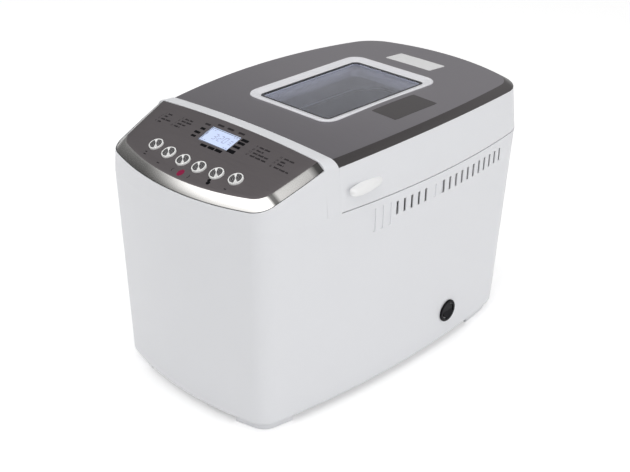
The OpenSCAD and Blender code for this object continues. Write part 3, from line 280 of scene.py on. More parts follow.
def rect_at_angles(angles, hx, hy, r, cy):
    """Points of a rounded rectangle in given directions from its middle."""
    p = rounded_rect(hx, hy, r, 0, 16)
    dense = []
    for i in range(len(p)):
        q = p[(i + 1) % len(p)]
        for t in np.linspace(0, 1, 24, endpoint=False):
            dense.append(p[i] * (1 - t) + q * t)
    dense = np.array(dense)
    a = np.arctan2(dense[:, 1], dense[:, 0])
    order = np.argsort(a)
    a, dense = a[order], dense[order]
    a = np.concatenate([a - 2 * math.pi, a, a + 2 * math.pi])
    dense = np.vstack([dense] * 3)
    return np.column_stack([np.interp(angles, a, dense[:, 0]), np.interp(angles, a, dense[:, 1]) + cy])


def panel_matrix(x, y):
    return Matrix.Translation(Vector((x, y, float(panel_z(x, y)))) * MM) @ Matrix.Rotation(SLOPE, 4, "X")


# ---------- shader nodes ----------

class Graph:
    """Nodes and links of one material, node group or world."""

    def __init__(self, tree):
        self.nodes, self.links = tree.nodes, tree.links

    def feed(self, value, socket):
        """Sets a socket to a plain value, or links another node's output to it."""
        if hasattr(value, "is_linked"):
            self.links.new(value, socket)
        else:
            socket.default_value = value

    def fill(self, node, values):
        for socket, value in values.items():
            self.feed(value, node.inputs[socket])

    def add(self, kind, values, **settings):
        node = self.nodes.new("ShaderNode" + kind)
        for name, value in settings.items():
            setattr(node, name, value)
        self.fill(node, values)
        return node.outputs

    def math(self, operation, a, b):
        return self.add("Math", {0: a, 1: b}, operation=operation)[0]

    def toned(self, colour, tone):
        """Colour times a tone that changes over the surface."""
        return self.add("VectorMath", {0: colour, "Scale": tone}, operation="SCALE")[0]

    def axes(self, coordinates):
        return self.add("SeparateXYZ", {0: self.add("TexCoord", {})[coordinates]})

    def ramp(self, value, stops):
        """Level that follows a value, from stops of (value, level)."""
        low, high = stops[0][0], stops[-1][0]
        place = self.add("MapRange", {"From Min": low, "From Max": high, "Value": value})[0]
        ramp = self.nodes.new("ShaderNodeValToRGB")
        elements = ramp.color_ramp.elements
        while len(elements) < len(stops):
            elements.new(0.5)
        for element, (at, level) in zip(elements, stops):
            element.position = (at - low) / (high - low)
            element.color = (level, level, level, 1)
        self.links.new(place, ramp.inputs[0])
        return ramp.outputs[0]


def node_group(name, inputs, outputs):
    tree = bpy.data.node_groups.new(name, "ShaderNodeTree")
    for label, kind in inputs:
        tree.interface.new_socket(label, in_out="INPUT", socket_type="NodeSocket" + kind)
    for label in outputs:
        tree.interface.new_socket(label, in_out="OUTPUT", socket_type="NodeSocketFloat")
    return tree, Graph(tree), tree.nodes.new("NodeGroupInput").outputs, tree.nodes.new("NodeGroupOutput").inputs


def make_moulded_grain():
    """Fine spark texture and faint mottling of moulded plastic or paint."""
    tree, g, given, out = node_group("moulded_grain", [("Grain size", "Float"), ("Tone depth", "Float")],
                                     ["Tone", "Height", "Mottle"])
    place = g.add("TexCoord", {})["Object"]
    fine = g.add("TexNoise", {"Vector": place, "Scale": given["Grain size"], "Detail": 2})["Fac"]
    broad = g.add("TexNoise", {"Vector": place, "Scale": 14, "Detail": 3})["Fac"]
    shift = g.math("MULTIPLY", g.math("SUBTRACT", broad, 0.5), given["Tone depth"])
    g.feed(g.math("ADD", shift, 1.0), out["Tone"])
    g.feed(fine, out["Height"])
    g.feed(broad, out["Mottle"])
    return tree


def make_brushed_lines():
    """Long fine lines of brushed metal, drawn out along one axis."""
    tree, g, given, out = node_group("brushed_lines", [("Stretch", "Vector"), ("Depth", "Float")], ["Tone", "Height"])
    place = g.add("TexCoord", {})["Object"]
    drawn = g.add("VectorMath", {0: place, 1: given["Stretch"]}, operation="MULTIPLY")[0]
    fine = g.add("TexNoise", {"Vector": drawn, "Scale": 1, "Detail": 4, "Roughness": 0.65})["Fac"]
    cloud = g.add("TexNoise", {"Vector": place, "Scale": 9, "Detail": 2})["Fac"]
    deep = g.math("MULTIPLY", g.math("SUBTRACT", fine, 0.5), given["Depth"])
    soft = g.math("MULTIPLY", g.math("SUBTRACT", cloud, 0.5), 0.12)
    g.feed(g.math("ADD", g.math("ADD", deep, soft), 1.0), out["Tone"])
    g.feed(fine, out["Height"])
    return tree


MOULDED_GRAIN = make_moulded_grain()
BRUSHED_LINES = make_brushed_lines()


def start_material(name):
    m = bpy.data.materials.new(name)
    m.use_nodes = True
    return m, Graph(m.node_tree), m.node_tree.nodes["Principled BSDF"]


def finish(name, group, values, spread_by, colour, rough, span, strength, relief, metallic, gloss, bands):
    """Material from a shared group; bands are painted light and shade along the machine's axes, as (axis, stops in
    metres).
    """
    m, g, shader = start_material(name)
    texture = g.add("Group", values, node_tree=group)
    tone = texture["Tone"]
    for axis, stops in bands:
        tone = g.math("MULTIPLY", tone, g.ramp(g.axes("Object")[axis], stops))
    rough_map = g.add("MapRange", {"To Min": rough - span, "To Max": rough + span, "Value": texture[spread_by]})
    bump = g.add("Bump", {"Strength": strength, "Distance": relief, "Height": texture["Height"]})
    g.fill(shader, {"Base Color": g.toned(colour, tone), "Roughness": rough_map[0], "Metallic": metallic,
                    "Specular IOR Level": gloss, "Normal": bump[0]})
    return m


def grained(name, colour, rough, grain=900.0, depth=0.03, strength=0.05, metallic=0.0, gloss=0.5, bands=()):
    values = {"Grain size": grain, "Tone depth": depth}
    return finish(name, MOULDED_GRAIN, values, "Mottle", colour, rough, 0.06, strength, 0.0002, metallic, gloss, bands)


def brushed(name, colour, rough, stretch=(14.0, 1500.0, 1500.0), depth=0.25, strength=0.06, bands=()):
    values = {"Stretch": stretch, "Depth": depth}
    return finish(name, BRUSHED_LINES, values, "Height", colour, rough, 0.08, strength, 0.0001, 1.0, 0.5, bands)


WHITE = grained("white_housing_plastic", (0.775, 0.782, 0.806), 0.36, 700, 0.02, 0.04)
GRIP_WHITE = grained("white_grip_plastic", (0.88, 0.88, 0.88), 0.3, 700, 0.02, 0.03)
FRAME_WHITE = grained("white_window_plastic", (0.77, 0.77, 0.80), 0.3, 700, 0.02, 0.04)
GREY = grained("grey_base_plastic", (0.42, 0.43, 0.45), 0.5, 500, 0.05, 0.1)
# painted reflection: the lid's brushed metal is painted darker towards the front of the lid
LID_METAL_PAINTED_REFLECTION = brushed("dark_brushed_lid_painted_reflection", (0.35, 0.333, 0.36), 0.4,
                    bands=[("Y", [(-0.11, 0.7), (-0.04, 0.84), (0.05, 1.0), (0.19, 1.08)])])
# painted reflection: the bevel is the lid's brushed finish painted much darker, and darker still towards the front
BEVEL_METAL_PAINTED_REFLECTION = brushed("brushed_bevel_painted_dark_reflection", (0.158, 0.148, 0.15), 0.36,
                      bands=[("Y", [(-0.1, 0.8), (-0.03, 1.0), (0.19, 1.05)])])
PANEL_METAL = brushed("dark_brushed_panel", (0.165, 0.15, 0.155), 0.4)
# painted reflections on the bright skirt: a narrow dark band across it near y = -0.157 m, dark towards its rear ends,
# and darker on the left
SKIRT_PAINTED_REFLECTIONS = [("Y", [(-0.2, 1.0), (-0.1605, 1.0), (-0.158, 0.16), (-0.1555, 0.16), (-0.152, 0.68), (-0.121, 0.68),
                      (-0.1145, 0.1)]),
               ("X", [(-0.125, 0.75), (-0.08, 0.66), (-0.04, 0.5), (0.012, 0.96), (0.06, 0.98), (0.125, 0.98)])]
SKIRT_METAL = brushed("bright_brushed_skirt_painted_reflections", (0.66, 0.65, 0.635), 0.2, (2600, 2600, 60), 0.2, 0.02, bands=SKIRT_PAINTED_REFLECTIONS)
GASKET = grained("black_gasket_rubber", (0.03, 0.03, 0.035), 0.5, 900, 0.1, 0.1)
BLACK = grained("black_switch_plastic", (0.009, 0.009, 0.011), 0.3, 900, 0.1, 0.03, gloss=0.06)
INK = grained("black_print", (0.003, 0.003, 0.004), 0.6, 900, 0.1, 0.02, gloss=0.05)
SOFT_INK = grained("grey_print", (0.022, 0.019, 0.021), 0.6, 900, 0.1, 0.02, gloss=0.12)
RED_INK = grained("red_print", (0.25, 0.011, 0.055), 0.5, 900, 0.1, 0.02, gloss=0.1)
STICKER = grained("pale_sticker", (0.76, 0.76, 0.76), 0.4, 400, 0.04, 0.02)
DARK_LABEL = grained("dark_label_film", (0.068, 0.062, 0.064), 0.38, 400, 0.08, 0.02, metallic=0.4)
BUTTON_WHITE = grained("white_button_plastic", (0.86, 0.86, 0.85), 0.28, 900, 0.02, 0.02)
BUTTON_DARK = grained("dark_button_insert", (0.05, 0.048, 0.05), 0.4, 900, 0.08, 0.03, metallic=0.3)
BUTTON_GREY = grained("grey_button_insert", (0.2, 0.195, 0.2), 0.4, 900, 0.08, 0.03, metallic=0.3)
STEEL = brushed("plain_steel", (0.55, 0.55, 0.56), 0.36)
CHAMBER_STEEL = brushed("chamber_sheet_steel", (0.42, 0.42, 0.44), 0.32, (60, 60, 900), 0.15)
# painted shade on the liner: darker low down, with painted light near its top edge
LINER_WHITE_PAINTED_SHADE = grained("pale_liner_enamel_painted_shade", (0.64, 0.64, 0.69), 0.4, 500, 0.03, 0.03,
                      bands=[("Z", [(0.2, 0.5), (0.225, 0.4), (0.235, 0.5), (0.241, 1.15), (0.246, 1.3)])])
SHAFT_STEEL = brushed("turned_shaft_steel", (0.6, 0.6, 0.61), 0.25, (900, 900, 60), 0.2)
PAN_COAT = grained("dark_nonstick_coating", (0.045, 0.045, 0.048), 0.42, 500, 0.12, 0.08, metallic=0.3)
WIRE = brushed("polished_wire", (0.7, 0.7, 0.71), 0.16, (300, 300, 300), 0.08, 0.02)
ELEMENT = grained("oxidised_element_sheath", (0.06, 0.055, 0.05), 0.55, 300, 0.3, 0.1, metallic=0.7)
PULLEY = grained("ivory_pulley_plastic", (0.68, 0.66, 0.6), 0.45, 500, 0.05, 0.06)
BELT = grained("black_belt_rubber", (0.02, 0.02, 0.02), 0.7, 400, 0.2, 0.2)
MOTOR = grained("satin_motor_can", (0.24, 0.25, 0.26), 0.35, 500, 0.08, 0.05, metallic=0.6)
BOARD = grained("green_circuit_board", (0.02, 0.12, 0.06), 0.4, 250, 0.4, 0.05)
DISPLAY_INK = grained("display_segment_ink", (0.36, 0.40, 0.62), 0.4, 600, 0.1, 0.01)
# painted shadow along the display's edges, where the frame round it shades it
DISPLAY_EDGE_PAINTED_SHADOW = grained("display_edge_painted_shadow", (0.13, 0.15, 0.2), 0.4, 600, 0.1, 0.01)


def make_display_glow():
    """Backlit display: pale blue, a little uneven."""
    m, g, shader = start_material("backlit_display")
    texture = g.add("Group", {"Grain size": 300, "Tone depth": 0.25}, node_tree=MOULDED_GRAIN)
    colour = g.toned((0.55, 0.64, 0.86), texture["Tone"])
    g.fill(shader, {"Base Color": colour, "Emission Color": colour, "Emission Strength": 0.28, "Roughness": 0.2})
    return m


def make_window_glass():
    """Clear tempered glass that lets light in."""
    m, g, shader = start_material("tempered_window_glass")
    texture = g.add("Group", {"Grain size": 60, "Tone depth": 0.04}, node_tree=MOULDED_GRAIN)
    g.fill(shader, {"Base Color": g.toned((0.78, 0.80, 0.92), texture["Tone"]), "Transmission Weight": 1,
                    "Roughness": 0.02, "IOR": 1.3})
    clear = g.add("BsdfTransparent", {"Color": (0.88, 0.90, 0.96, 1)})
    ray = g.add("LightPath", {})
    unseen = g.math("MAXIMUM", ray["Is Shadow Ray"], ray["Is Diffuse Ray"])
    mix = g.add("MixShader", {0: unseen, 1: shader.outputs[0], 2: clear[0]})
    g.feed(mix[0], g.nodes["Material Output"].inputs["Surface"])
    return m


DISPLAY = make_display_glow()
GLASS = make_window_glass()

# ---------- camera ----------

right, up, ahead = (Vector((0.69925, 0.71477, -0.01196)), Vector((-0.31866, 0.32663, 0.88981)),
                    Vector((-0.63992, 0.61840, -0.45617)))
cam_data = bpy.data.cameras.new("camera")
cam_data.sensor_width = 36
cam_data.lens = 1195 * 36 / 630
cam_data.clip_end = 50
camera = bpy.data.objects.new("camera", cam_data)
bpy.context.scene.collection.objects.link(camera)
turn = Matrix((right, up, -ahead)).transposed().to_4x4()
camera.matrix_world = Matrix.Translation((0.75293, -0.74208, 0.64358)) @ turn
bpy.context.scene.camera = camera

# ---------- housing ----------

slot_ys = [SLOT_Y + i * SLOT_PITCH for i in range(5)] + [SLOT_Y + (6.75 + i) * SLOT_PITCH for i in range(11)]
short_grooves = [SLOT_Y + (5.4 + i) * SLOT_PITCH for i in range(2)]
long_grooves = [SLOT_Y - i * SLOT_PITCH for i in (1, 2, 3)]
edges = [y + s * SLOT_W / 2 for y in slot_ys + short_grooves + long_grooves for s in (-1, 1)]
side_ys = sorted(edges + [-88.0, -80.0, -72.0, -64.0, SIDE_END])
housing_spans = [("seam", PANEL_BACK, FRONT_N), ("seam", SEAM_Y, BAND_N), ("ys", side_ys, 0), ("end", None, REAR_N)]
slot_span = (SLOT_Z - SLOT_H / 2, SLOT_Z + SLOT_H / 2)
groove_span = (SLOT_Z - GROOVE_DROP - SLOT_H * 0.85, SLOT_Z - GROOVE_DROP + SLOT_H * 0.85)
wall_zs = [FOOT + EDGE_R, 20, 40, 60, 80, 100, 120, 140, 160, groove_span[0], *slot_span, groove_span[1], PARTING]


def wall_stations(half):
    return stations(half, housing_spans)


def wall_ring(shape, half):
    return shape.ring(mirrored(wall_stations(half)))


def build_foot_edge(shape):
    """Rounded lower edge of the wall, from inside out; gives its top ring."""
    ids = [wall_ring(shape, at_height(LOW + LOW_IN * (EDGE_R + WALL), FOOT))]
    for a in np.linspace(0, 90, 7)[:-1]:
        k = EDGE_R * (1 - math.sin(math.radians(a)))
        z = FOOT + EDGE_R * (1 - math.cos(math.radians(a)))
        ids.append(wall_ring(shape, at_height(LOW + LOW_IN * k, z)))
    shape.bands(ids)
    return ids[-1]


def build_slots(shape, walls):
    """Vent slots and blind grooves in both side walls; gives the cells of the wall that they take."""
    full = len(walls[0])
    cut = []
    for ys, span, depth, through in ((slot_ys, slot_span, SLOT_DEPTH, True),
                                     (short_grooves, slot_span, GROOVE_DEPTH, False),
                                     (long_grooves, groove_span, GROOVE_DEPTH, False)):
        low, high = wall_zs.index(span[0]), wall_zs.index(span[1])
        for y in ys:
            column = FRONT_N + BAND_N + 1 + int(np.argmin(np.abs(np.array(side_ys) - (y - SLOT_W / 2))))
            for side, left, right in ((1, column, column + 1), (-1, full - column - 1, full - column)):
                cut += [(k, left) for k in range(low, high)]
                mouth = [walls[k][left] for k in range(low, high + 1)]
                mouth += [walls[k][right % full] for k in range(high, low - 1, -1)]
                inner = shape.ring([(shape.v[i][0] - side * depth, shape.v[i][1], shape.v[i][2]) for i in mouth])
                shape.band(mouth, inner)
                if not through:
                    shape.cap(inner)
    return cut


def build_deck(shape, rim):
    """Flat top of the body under the lid, with the recess for the chamber's flange."""
    top = np.array([shape.v[i] for i in rim])
    angles = np.arctan2(top[:, 1] - CHAMBER_Y, top[:, 0])
    mouth = rect_at_angles(angles, CHAMBER_X + 5, CHAMBER_L + 5, 31, CHAMBER_Y)
    near = top[:, :2] * 0.25 + mouth * 0.75
    deck = [shape.ring(at_height(xy, PARTING - drop)) for xy, drop in ((near, 0), (mouth, 0), (mouth, 1.2))]
    shape.bands([rim] + deck)


def build_tower(shape, rim):
    """Front wall above the parting line, up to the rim round the panel."""
    full = len(rim)
    base = [rim[(full - c) % full] for c in range(FRONT_N, 0, -1)] + [rim[c] for c in range(0, FRONT_N + 1)]

    def line(k, drop):
        half = wall_stations(top_half(panel_z, k, drop))[:FRONT_N + 1]
        return np.vstack([half[:0:-1] * [-1, 1, 1], half])

    low, high = np.array([shape.v[i] for i in base]), line(0, PANEL_BEVEL_H + 0.5)
    steps = [shape.ring(low * (1 - t) + high * t) for t in (0.5, 1.0)]
    for k, drop in ((0.15, 0.1), (0.5, 0), (PANEL_RIM - 0.6, 0), (PANEL_RIM - 0.5, 5)):
        steps.append(shape.ring(line(k, PANEL_BEVEL_H + drop)))
    shape.bands([base] + steps, closed=False)


def strip_row(column):
    """One row of points across the strip between the panel and the lid, over its rounded ends."""
    edge = wall_stations(top_half(strip_z, 0, 5.5))[column]

    def point(x, drop):
        y = edge[1] + SEAM_BOW * ((edge[0] / CROWN_X) ** 2 - (x / CROWN_X) ** 2)
        return (x, y, float(strip_z(x, y)) - drop)

    end = ((0.0, 6.2), (0.35, 5.0), (1.2, 3.75), (2.5, 2.55), (4.2, 1.5), (6.2, 0.72), (8.2, 0.25), (10.0, 0.03))
    row = [point(edge[0] - inward, drop) for inward, drop in end]
    row += [point(x, 0.0) for x in np.linspace(edge[0] - 11, 0, 26)]
    return row + [(-p[0], p[1], p[2]) for p in row[-2::-1]]


def build_strip(shape):
    """White strip between the panel and the lid, its end walls, and the wall that faces the lid."""
    rows = [strip_row(FRONT_N + j) for j in range(BAND_N + 1)]

    def moved(row, dy, dz):
        return [(p[0], p[1] + dy, p[2] - dz) for p in row]

    front = [moved(rows[0], dy, dz) for dy, dz in ((0.0, 6.0), (0.0, 0.7), (0.25, 0.2), (0.8, 0.0))]
    back = [moved(rows[-1], dy, dz) for dy, dz in ((-0.5, 0.0), (0.1, 0.2), (0.4, 0.6))]
    ids = [shape.ring(r) for r in front + rows[1:-1] + back]
    shape.bands(ids, closed=False)

    def wall_x(y):
        return float(np.interp(y, MID[:, 1], MID[:, 0]))

    for side, end in ((1, 0), (-1, -1)):
        tops = [r[end] for r in ids[1:]]
        feet = [(side * wall_x(shape.v[i][1]), shape.v[i][1], PARTING) for i in tops]
        shape.band(tops, shape.ring(feet), closed=False)
    feet = [(shape.v[i][0], shape.v[i][1], PARTING) for i in ids[-1]]
    feet[0] = (wall_x(feet[0][1]), feet[0][1], PARTING)
    feet[-1] = (-feet[0][0], feet[0][1], PARTING)
    shape.band(ids[-1], shape.ring(feet), closed=False)


def build_housing():
    shape = Shape()
    edge = build_foot_edge(shape)
    walls = [wall_ring(shape, wall_half(z)) for z in wall_zs]
    shape.band(edge, walls[0])
    cut = build_slots(shape, walls)
    for k in range(len(walls) - 1):
        shape.band(walls[k], walls[k + 1], skip=[c for row, c in cut if row == k])
    build_deck(shape, walls[-1])
    build_tower(shape, walls[-1])
    build_strip(shape)
    shape.piece("housing_shell", [WHITE], "housing", "white_plastic", replaces=("base_shell",), sharp=32,
                weighted=True)


build_housing()


def circle(r, n, z=0.0):
    angles = [2 * math.pi * i / n for i in range(n)]
    return [(r * math.cos(t), r * math.sin(t), z) for t in angles]


def tube_x(shape, x0, x1, r, bore):
    """Knuckle round the hinge's axis with a bore and eased edges."""
    edge = 0.5
    profile = ((x0, bore), (x0, r - edge), (x0 + edge, r), (x1 - edge, r), (x1, r - edge), (x1, bore), (x0, bore))
    shape.loft([[(x, HINGE_Y + a, HINGE_Z + b) for a, b, _ in circle(rr, 40)] for x, rr in profile])


def block(shape, lo, hi):
    """Box with eased edges."""
    edge = 0.4
    centre = [(a + b) / 2 for a, b in zip(lo, hi)]
    half = [(b - a) / 2 for a, b in zip(lo, hi)]
    rings = []
    for z, k in ((lo[2], edge), (lo[2] + edge, 0), (hi[2] - edge, 0), (hi[2], edge)):
        rings.append(at_height(rounded_rect(half[0] - k, half[1] - k, edge, centre[1], 3, centre[0]), z))
    shape.capped(rings)


def build_hinges():
    ears, knuckles = Shape(), Shape()
    gap = 0.4
    for s in (-1, 1):
        left, right = s * HINGE_X - KNUCKLE_W / 2, s * HINGE_X + KNUCKLE_W / 2
        for x in (left - gap - EAR_W, right + gap):
            tube_x(ears, x, x + EAR_W, KNUCKLE_R + 0.3, PIN_R)
            block(ears, (x, 179.5, HINGE_Z - 16), (x + EAR_W, HINGE_Y, HINGE_Z - 1))
        tube_x(knuckles, left, right, KNUCKLE_R, PIN_R + 0.05)
        block(knuckles, (left, 181, PARTING + LID_GAP), (right, HINGE_Y - PIN_R - 0.2, HINGE_Z + KNUCKLE_R - 0.3))
    ears.piece("hinge_ears", [WHITE], "housing", "white_plastic", replaces=("base_shell",))
    knuckles.piece("lid_knuckles", [WHITE], "lid", "white_plastic", replaces=("lid_shell",))


build_hinges()

# ---------- control panel ----------

def seamed(line, y0, height):
    """Ring from an open line, closed along the bowed seam from its last point to its first."""
    xs = np.linspace(line[-1][0], line[0][0], SEAM_N)[1:-1]
    ys = seam_at(xs, y0)
    return np.vstack([line, np.column_stack([xs, ys, height(xs, ys)])])


def panel_ring(k, drop, back):
    """Ring of the panel: from its left rear corner round the front to the right, and back along its rear edge."""
    half = stations(top_half(panel_z, k, drop), [("seam", back, FRONT_N)])
    return seamed(np.vstack([half[:0:-1] * [-1, 1, 1], half]), back, lambda x, y: panel_z(x, y) - drop)


def drawn_in(ring, t, surface, drop, cy):
    """Ring drawn in towards the middle (0, cy), laid on a surface again."""
    p = np.array(ring)
    x, y = p[:, 0] * t, cy + (p[:, 1] - cy) * t
    return np.column_stack([x, y, surface(x, y) - drop])


def button_place(i):
    x = (i - 3.5) * PITCH
    return x, BUTTON_Y + BUTTON_BOW * (x / (2.5 * PITCH)) ** 2


def cut_by(obj, cutters):
    """Takes the cutters' volumes out of a closed piece."""
    for c in cutters:
        m = obj.modifiers.new("cut", "BOOLEAN")
        m.operation = "DIFFERENCE"
        m.solver = "EXACT"
        m.object = c
    graph = bpy.context.evaluated_depsgraph_get()
    mesh = bpy.data.meshes.new_from_object(obj.evaluated_get(graph), depsgraph=graph)
    obj.modifiers.clear()
    obj.data = mesh
    for c in cutters:
        bpy.data.objects.remove(c)


def prism_cutter(outline, place):
    shape = Shape()
    shape.capped([[(p[0], p[1], z) for p in outline] for z in (-9.0, 6.0)])
    return shape.piece("cutter", [], smooth=False, place=place)


def build_panel():
    """Cover plate with a bright skirt round it, and holes for the buttons and the display."""
    shape = Shape()
    back, middle = PANEL_BACK - 0.3, PANEL_BACK - 38
    skirt = [(1.6, PANEL_BEVEL_H), (0.0, PANEL_BEVEL_H), (0.12, PANEL_BEVEL_H - 0.3), (PANEL_BEVEL - 1.3, 0.85),
             (PANEL_BEVEL - 0.6, 0.36), (PANEL_BEVEL + 0.1, 0.08), (PANEL_BEVEL + 0.9, 0)]
    rim = [panel_ring(PANEL_RIM + k, drop, back) for k, drop in skirt]
    under = panel_ring(PANEL_RIM + PANEL_BEVEL + 0.6, PLATE_T, back)
    low = [drawn_in(under, t, panel_z, PLATE_T, middle) for t in (0.04, 0.32, 0.64, 0.9)]
    top = [drawn_in(rim[-1], t, panel_z, 0, middle) for t in (0.92, 0.8, 0.64, 0.48, 0.32, 0.16, 0.04)]
    ids = shape.loft(low + [under] + rim + top, [0] * 5 + [1] * 5 + [0] * 8)
    shape.cap(ids[-1])
    shape.cap(ids[0])
    plate = shape.piece("panel_plate", [PANEL_METAL, SKIRT_METAL], "housing", "brushed_cover",
                        replaces=("control_panel",), smooth=False)
    hole = circle(BUTTON_R + 0.35, 56)
    cutters = [prism_cutter(hole, panel_matrix(*button_place(i))) for i in range(1, 7)]
    cutters.append(prism_cutter(rounded_rect(LCD_X, LCD_L, 0.8, 0, 4), lcd_matrix))
    cut_by(plate, cutters)
    plate.data.polygons.foreach_set("use_smooth", [True] * len(plate.data.polygons))
    plate.data.set_sharp_from_angle(angle=math.radians(34))


lcd_matrix = panel_matrix(LCD_PLACE, LCD_Y)
build_panel()

# ---------- buttons ----------

def sector(shape, r0, r1, a0, a1, z0, z1, mat):
    """Raised insert between two radii and two angles, with eased top edges."""
    forth = np.linspace(0, 1, 14)

    def loop(k, z):
        pts = []
        for r, steps, reach in ((r1 - k, forth, r1), (r0 + k, forth[::-1], max(r0, 0.5))):
            inset = min(math.degrees(k / reach), (a1 - a0) / 2)
            for t in steps:
                a = math.radians(min(max(a0 + (a1 - a0) * t, a0 + inset), a1 - inset))
                pts.append((r * math.cos(a), r * math.sin(a), z))
        return pts

    ids = shape.loft([loop(0, z0), loop(0, z1 - 0.1), loop(0.12, z1)], mat)
    shape.cap(ids[-1], mat)


def build_button(i):
    """White cap with a raised rim, and two ribbed inserts in its face."""
    cap = Shape()
    profile = [(0, -4.9), (0, 1.2), (0.12, 1.5), (0.4, 1.68), (0.7, 1.7), (0.95, 1.62), (1.1, 1.5),
               (BUTTON_R - 0.05, 1.5)]
    ids = cap.loft([circle(BUTTON_R - inward, 64, z) for inward, z in profile])
    cap.cap(ids[-1])
    face, ground, ribs = 1.3, 1.56, 1.61
    for a0, a1 in ((-27, 122), (148, 297)):
        sector(cap, 0.4, BUTTON_R - 1.15, a0, a1, face, ground, 2)
        for r0, r1, inset in ((0.9, 2.4, 9), (2.9, 4.1, 4), (4.5, BUTTON_R - 1.25, 3)):
            sector(cap, r0, r1, a0 + inset, a1 - inset, face, ribs, 1)
    cap.piece("button_cap_%d" % i, [BUTTON_WHITE, BUTTON_DARK, BUTTON_GREY], "button_%d" % i, "white_plastic",
              replaces=("button_%d" % i,), place=panel_matrix(*button_place(i)))


for i in range(1, 7):
    build_button(i)

# ---------- prints on the panel and the display ----------

def panel_marks(name, marks, mat):
    """One piece from many printed marks, laid on the crowned panel round its middle at PRINT_Y."""
    shape = Shape()
    for pts in marks:
        at = [(p[0], PRINT_Y + p[1] * math.cos(SLOPE)) for p in pts]
        shape.capped([[(x, y, float(panel_z(x, y)) + h) for x, y in at] for h in (PRINT_SINK, PRINT_RISE)])
    shape.piece(name, [mat], "housing", "black_plastic", smooth=False)


def display_marks(name, marks, mat, rise):
    """One piece from many flat marks on the display's face."""
    shape = Shape()
    for pts in marks:
        shape.capped([[(p[0], p[1], z) for p in pts] for z in (PRINT_SINK, rise)])
    shape.piece(name, [mat], "housing", "black_plastic", smooth=False,
                place=lcd_matrix @ Matrix.Translation((0, 0, -DISPLAY_DROP * MM)))


def bar(x0, x1, y0, y1, r=0.25):
    w, h = x1 - x0, y1 - y0
    return [tuple(p) for p in rounded_rect(w / 2, h / 2, min(r, h / 2.1, w / 2.1), (y0 + y1) / 2, 3, (x0 + x1) / 2)]


def oval(x, y, rx, ry, n):
    return [(x + rx * a, y + ry * b) for a, b, _ in circle(1, n)]


STROKES_ON = {"0": "abcdef", "1": "bc", "2": "abged", "3": "abgcd", "4": "fgbc", "5": "afgcd", "6": "afgedc",
              "7": "abc", "8": "abcdefg", "9": "abcdfg"}


def seven_segment(digit, x, y, w, h, t):
    """Strokes of one seven-segment digit, slanted a little."""
    g = 0.18
    inner, left, right = (x + t + g, x + w - t - g), (x, x + t), (x + w - t, x + w)
    upper, lower = (y + h / 2 + g, y + h - g), (y + g, y + h / 2 - g)
    spans = {"a": (inner, (y + h - t, y + h)), "g": (inner, (y + h / 2 - t / 2, y + h / 2 + t / 2)),
             "d": (inner, (y, y + t)), "f": (left, upper), "b": (right, upper), "e": (left, lower), "c": (right, lower)}
    out = []
    for stroke in STROKES_ON[digit]:
        (x0, x1), (y0, y1) = spans[stroke]
        out.append([(px + 0.12 * (py - y), py) for px, py in ((x0, y0), (x1, y0), (x1, y1), (x0, y1))])
    return out


def build_display():
    shape = Shape()
    outline = rounded_rect(LCD_X - 0.15, LCD_L - 0.15, 0.6, 0, 4)
    ids = shape.loft([at_height(outline, z) for z in (-1.2, -DISPLAY_DROP)])
    shape.cap(ids[-1])
    shape.piece("display_face", [DISPLAY], "housing", "display_window", replaces=("lcd_window",), smooth=False,
                place=lcd_matrix)
    marks = []
    for d, x in (("3", -8.6), ("2", -1.2), ("0", 5.2)):
        marks += seven_segment(d, x, -3.6, 4.4, 7.6, 0.75)
    marks += [bar(-2.9, -2.1, -1.6, -0.8), bar(-2.6, -1.8, 1.4, 2.2)]
    display_marks("display_digits", marks, DISPLAY_INK, 0.02)
    icons = [(x, x + 1.6, y, top) for x in (-16.5, -13.2, 12.4, 15.4) for y, top in ((6.4, 7.4), (-7.8, -6.9))]
    icons += [(-17.2, -16.2, -1, 2), (13.6, 16.8, 1.6, 2.4), (13.6, 16.0, -0.6, 0.2), (13.6, 16.8, -2.8, -2.0)]
    display_marks("display_icons", [bar(*b) for b in icons], DISPLAY_INK, 0.02)
    # painted shadow: dark bars along the display's top, left and bottom edges
    edge = [(-LCD_X, LCD_X, LCD_L - 1.5, LCD_L - 0.9), (-LCD_X + 1.6, -LCD_X + 2.2, -LCD_L + 1, LCD_L - 1),
            (-LCD_X, LCD_X, -LCD_L + 0.2, -LCD_L + 1.0), (-LCD_X + 0.2, -LCD_X + 1.0, -LCD_L, LCD_L)]
    display_marks("display_edge_shadow", [bar(*span, 0.1) for span in edge], DISPLAY_EDGE_PAINTED_SHADOW, 0.015)


build_display()


def small_number(text, x, y):
    """Plain number in slanted strokes, its right end at x."""
    w, h, pitch, stroke = 1.3, 2.3, 1.75, 0.32
    marks = []
    for k, d in enumerate(reversed(text)):
        marks += seven_segment(d, x - (k + 1) * pitch, y - h / 2, w, h, stroke)
    return marks


# each program line's number ends at x; then its height and its length
PROGRAM_LINES = [
    (-82.6, 5.9, 8.9), (-84.2, 2.4, 6.9), (-84.6, -1.6, 16.0), (-84.9, -5.8, 7.0),
    (-59.2, 7.0, 13.7), (-60.4, 3.5, 16.6), (-62.0, -0.5, 13.4), (-62.6, -4.3, 10.7),
    (39.9, 8.6, 17.1), (40.2, 4.4, 11.6), (39.6, 0.6, 21.4), (39.4, -3.2, 21.7),
    (71.4, 7.9, 14.5), (70.8, 3.7, 8.5), (70.3, 0.3, 10.5), (70.4, -4.2, 19.8),
]
STROKE_HEIGHTS = (1.15, 0.75, 0.95, 0.75, 1.05)
